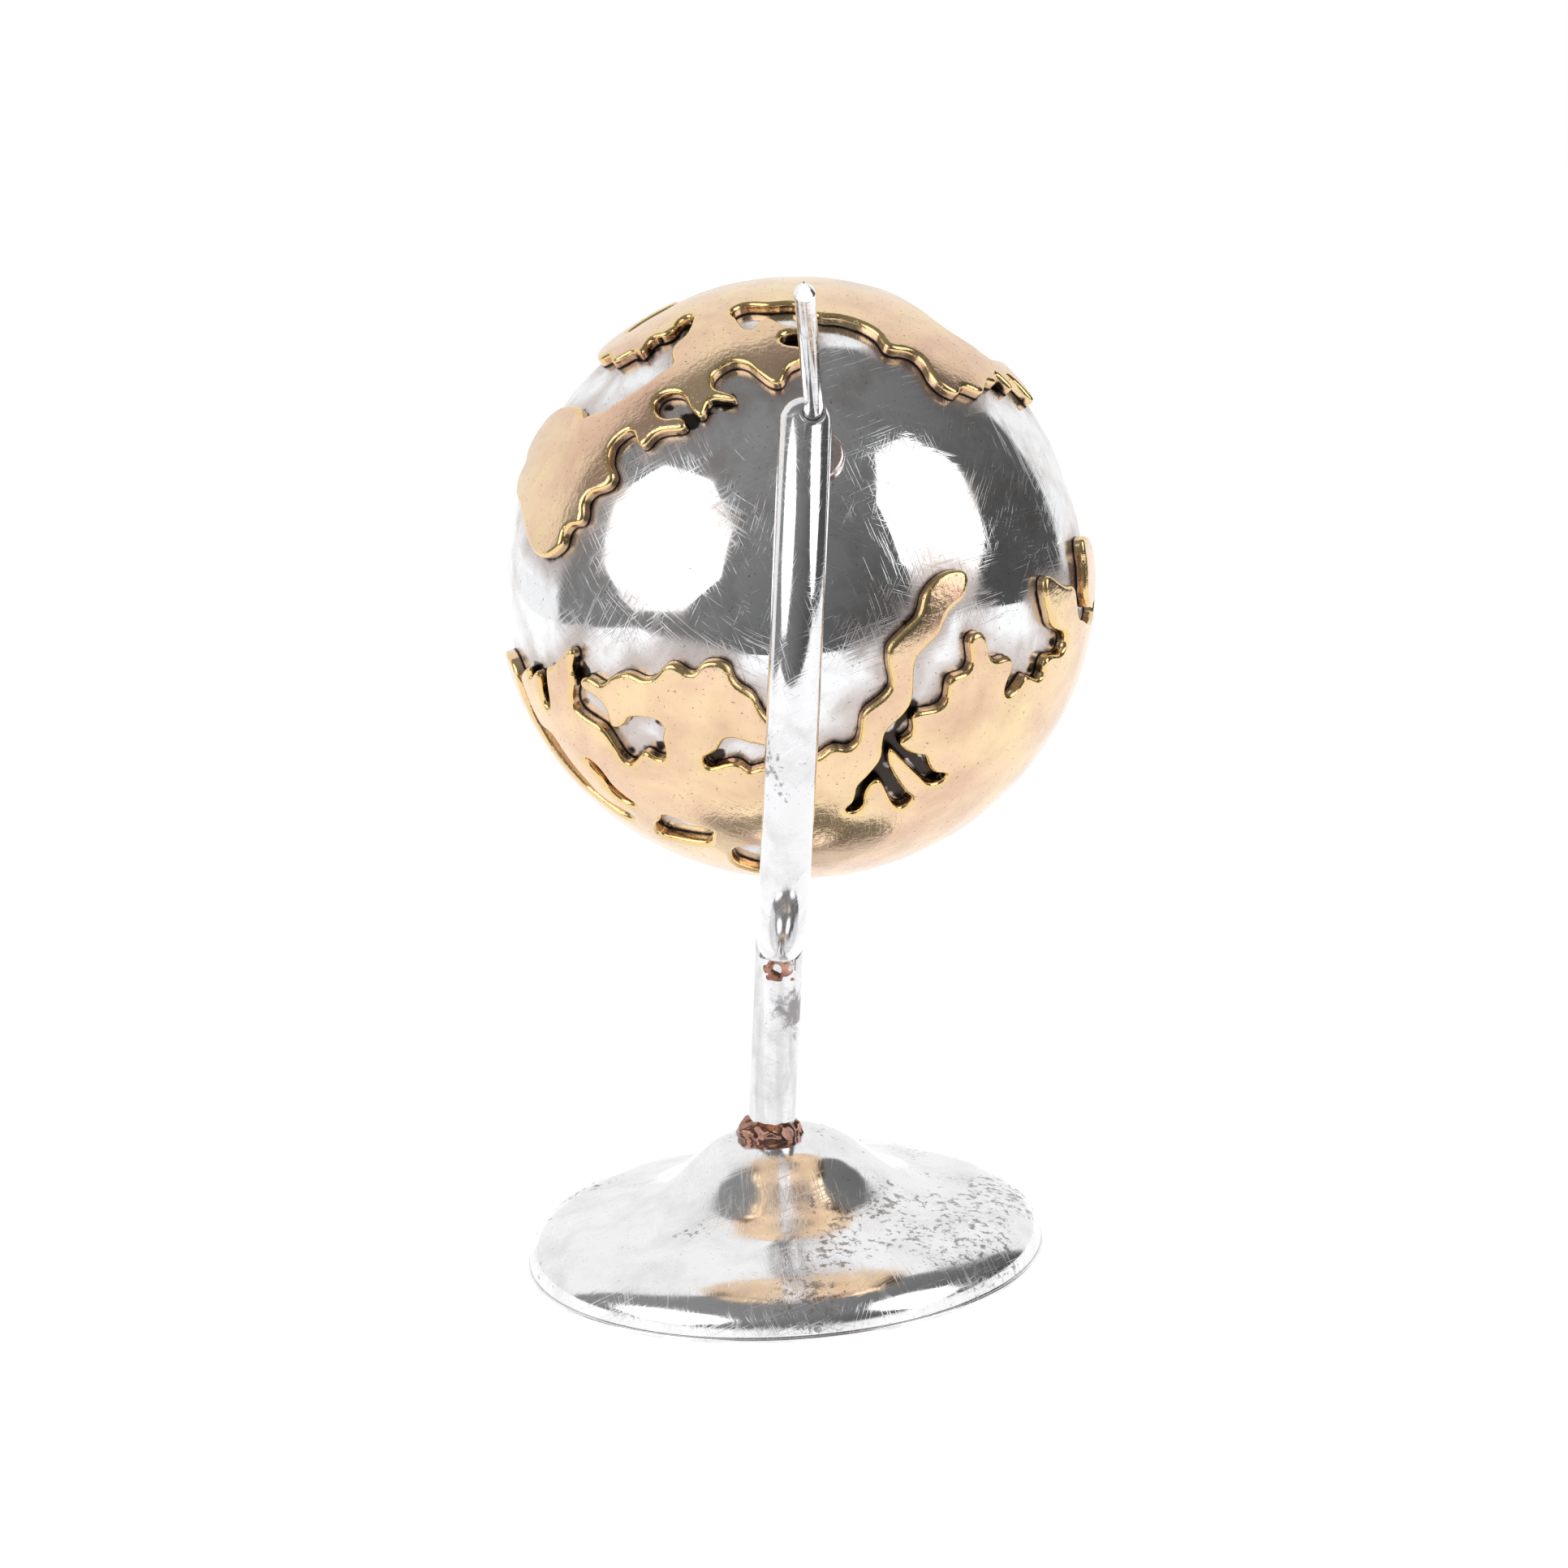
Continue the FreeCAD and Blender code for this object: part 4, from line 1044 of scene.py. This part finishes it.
def make_land(node):
    """The filed and rubbed brass piece that stands for one land of the frame."""
    draw = random.Random(LANDS.index(node) + 11)
    loops = [even_spacing(ring, COAST_SPACING / land_radius) for ring in shore_loops(node)]
    middle = sum((way for way in loops[0]), Vector((0, 0, 0)))
    chart = Chart(middle)
    flats = [[chart.flat(way) for way in loop] for loop in loops]
    shore = kdtree.KDTree(sum(len(loop) for loop in loops))
    for number, way in enumerate(way for loop in loops for way in loop):
        shore.insert(way, number)
    shore.balance()

    shore_points = [way for loop in loops for way in loop]
    creek = [creek_share(shore, way) for way in shore_points]
    inward = []
    for loop in loops:
        count = len(loop)
        for i in range(count):
            along = loop[(i + 1) % count] - loop[i - 1]
            inward.append(loop[i].cross(along).normalized())
    free = []
    for ring in EDGE_RINGS:
        step = ring * MM / land_radius
        for way, turn in zip(shore_points, inward):
            place = (way + turn * step).normalized()
            if shore.find(place)[2] > step * 0.93:
                free.append(chart.flat(place))
    free += scattered(chart, flats, INLAND_SPACING, shore, EDGE_RINGS[-1] * 1.25 * MM, draw)
    spots, faces, origins = flat_mesh(flats, free)

    points = []
    wall = []
    rubbed_and_painted_light = []
    shore_count = len(shore_points)
    order = {}
    for number, (spot, source) in enumerate(zip(spots, origins)):
        way = chart.round(spot)
        away = shore.find(way)[2] * land_radius
        firsts = [s for s in source if s < shore_count]
        narrow = 0.0
        if firsts:
            away = 0.0
            order[firsts[0]] = number
            narrow = creek[firsts[0]]
        share = min(away / EDGE_ROUND, 1.0)
        drop = EDGE_ROUND * (1 - math.sqrt(1 - (1 - share) ** 2))
        dish = 0.05 * MM * noise.noise(way * 9) * min(away / (2 * MM), 1.0)
        points.append(ball_middle + way * (land_radius - drop + dish))
        # In narrow creeks the brass is painted near black: partly oxide, partly painted shade.
        wall.append(narrow * 0.55)
        # A bright band on the edge's rounding: partly rubbing, partly a painted highlight.
        rubbed_and_painted_light.append(math.exp(-((away - 0.20 * MM) / (0.22 * MM)) ** 2))

    base_rings = []
    first = 0
    for loop in loops:
        count = len(loop)
        above = [order[first + i] for i in range(count)]
        for out, height in reversed(WALL_RINGS):
            ring = []
            for i in range(count):
                way = (shore_points[first + i] - inward[first + i] * out * MM / land_radius).normalized()
                ring.append(len(points))
                points.append(ball_middle + way * (BALL_RADIUS + height * MM))
                # Darker towards the wall's foot: partly oxide, partly painted shade.
                wall.append(max(creek[first + i], 1 - max(height, 0) / 0.4 * 0.75))
                rubbed_and_painted_light.append(0.0)
            for i in range(count):
                after = (i + 1) % count
                faces.append((above[i], ring[i], ring[after], above[after]))
            above = ring
        base_rings.append(above)
        first += count

    base_flats = [
        [chart.flat((points[i] - ball_middle).normalized()) for i in ring] for ring in base_rings
    ]
    under = scattered(chart, base_flats, UNDERSIDE_SPACING, shore, UNDERSIDE_SPACING * 0.6, draw)
    spots, under_faces, origins = flat_mesh(base_flats, under)
    base_order = [i for ring in base_rings for i in ring]
    numbers = []
    for spot, source in zip(spots, origins):
        firsts = [s for s in source if s < len(base_order)]
        if firsts:
            numbers.append(base_order[firsts[0]])
            continue
        numbers.append(len(points))
        points.append(ball_middle + chart.round(spot) * (BALL_RADIUS - LAND_SINK))
        wall.append(1.0)
        rubbed_and_painted_light.append(0.0)
    faces += [tuple(numbers[i] for i in reversed(face)) for face in under_faces]

    piece = mesh_piece(node + "_brass", points, faces, brass)
    face_outwards(piece.data)
    for label, values in (("wall", wall), ("rubbed_edge_and_highlight", rubbed_and_painted_light)):
        layer = piece.data.attributes.new(label, "FLOAT", "POINT")
        layer.data.foreach_set("value", values)
    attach(piece, "globe")
    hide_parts(node)
    return shore_points


coasts = []
for node in LANDS:
    coasts += make_land(node)

# ============================================================ the ball
# Two half shells are spun from sheet, soldered edge to edge and polished to a mirror.
# Heat and flux have left a cloudy brown bloom along every coast. At the foot of the coasts
# and in narrow creeks the silver is near black, partly oxide and dirt and partly painted shade.
BALL_SHEET = 0.8 * MM
BALL_CUTS = 7
BLOOM_WIDTH = 3.4 * MM

ball_silver, tree, shader = new_material("ball_silver")
place = tree.nodes.new("ShaderNodeTexCoord").outputs["Object"]
bloom = tree.nodes.new("ShaderNodeAttribute")
bloom.attribute_name = "coast_bloom"
shader.inputs["Metallic"].default_value = 1.0
lines = use_group(tree, hairlines, place, Fineness=1.0, Share=0.6)
ragged = noise_node(tree, place, 210, 5.0, 0.8, 0.6)
waver = scaled(tree, combine(tree, "SUBTRACT", ragged.outputs["Fac"], 0.5), 0.9)
near = added(tree, bloom.outputs["Fac"], waver)
film = remap(tree, near, 0.25, 0.85)
creek = tree.nodes.new("ShaderNodeAttribute")
creek.attribute_name = "creek"
# Near black in narrow creeks and at the walls' foot: partly dirt and oxide, partly painted shade.
creek_dirt_and_shade = added(tree, creek.outputs["Fac"], scaled(tree, ragged.outputs["Fac"], 0.5))
creek_dirt_and_shade = remap(tree, creek_dirt_and_shade, 0.55, 0.9)
crease_oxide_and_shade = combine(tree, "MAXIMUM", remap(tree, near, 1.02, 1.2), creek_dirt_and_shade)
amount = added(tree, scaled(tree, film, 0.12), 0.21)
cloud = use_group(tree, tarnish, place, Coarse=210.0, Amount=amount)
clean = blend_colour(tree, lines.outputs["Lines"], (0.90, 0.905, 0.915), (0.98, 0.99, 1.0))
dusty = blend_colour(tree, cloud.outputs["Film"], clean, (0.60, 0.54, 0.51))
stained = blend_colour(tree, scaled(tree, film, 0.75), dusty, (0.60, 0.52, 0.49))
specks = scaled(tree, cloud.outputs["Specks"], 0.8)
specked = blend_colour(tree, specks, stained, (0.28, 0.24, 0.22))
shaded_and_dirty = blend_colour(tree, crease_oxide_and_shade, specked, (0.05, 0.04, 0.035))
tree.links.new(shaded_and_dirty, shader.inputs["Base Color"])
dull = added(
    tree, scaled(tree, film, 0.16), scaled(tree, lines.outputs["Lines"], 0.22),
    scaled(tree, cloud.outputs["Film"], 0.14), 0.03,
)
tree.links.new(dull, shader.inputs["Roughness"])
bump(tree, shader, lines.outputs["Lines"], 0.008 * MM)

shore = kdtree.KDTree(len(coasts))
for number, way in enumerate(coasts):
    shore.insert(way, number)
shore.balance()
for half, way in (("upper", 1), ("lower", -1)):
    globe = bmesh.new()
    bmesh.ops.create_icosphere(globe, subdivisions=BALL_CUTS, radius=BALL_RADIUS)
    cut = globe.verts[:] + globe.edges[:] + globe.faces[:]
    bmesh.ops.bisect_plane(globe, geom=cut, plane_co=(0, 0, 0), plane_no=axle_way * way, clear_inner=True)
    bmesh.ops.translate(globe, verts=globe.verts, vec=ball_middle)
    mesh = bpy.data.meshes.new("globe_half_" + half)
    globe.to_mesh(mesh)
    globe.free()
    piece = bpy.data.objects.new("globe_half_" + half, mesh)
    bpy.context.scene.collection.objects.link(piece)
    wall = piece.modifiers.new("sheet", "SOLIDIFY")
    wall.thickness = BALL_SHEET
    wall.offset = -1
    made = piece.evaluated_get(bpy.context.evaluated_depsgraph_get())
    shell = bpy.data.meshes.new_from_object(made)
    piece.modifiers.clear()
    piece.data = shell
    shell.polygons.foreach_set("use_smooth", [True] * len(shell.polygons))
    shell.materials.append(ball_silver)
    shell.set_sharp_from_angle(angle=math.radians(40))
    blooms = []
    creeks = []
    for vertex in shell.vertices:
        way_out = (vertex.co - ball_middle).normalized()
        away = shore.find(way_out)[2] * BALL_RADIUS
        blooms.append(math.exp(-away / BLOOM_WIDTH * 1.6) * 1.15)
        creeks.append(creek_share(shore, way_out) if away < CREEK_REACH else 0.0)
    for label, values in (("coast_bloom", blooms), ("creek", creeks)):
        layer = shell.attributes.new(label, "FLOAT", "POINT")
        layer.data.foreach_set("value", values)
    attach(piece, "globe")
    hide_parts("globe_shell_" + half)
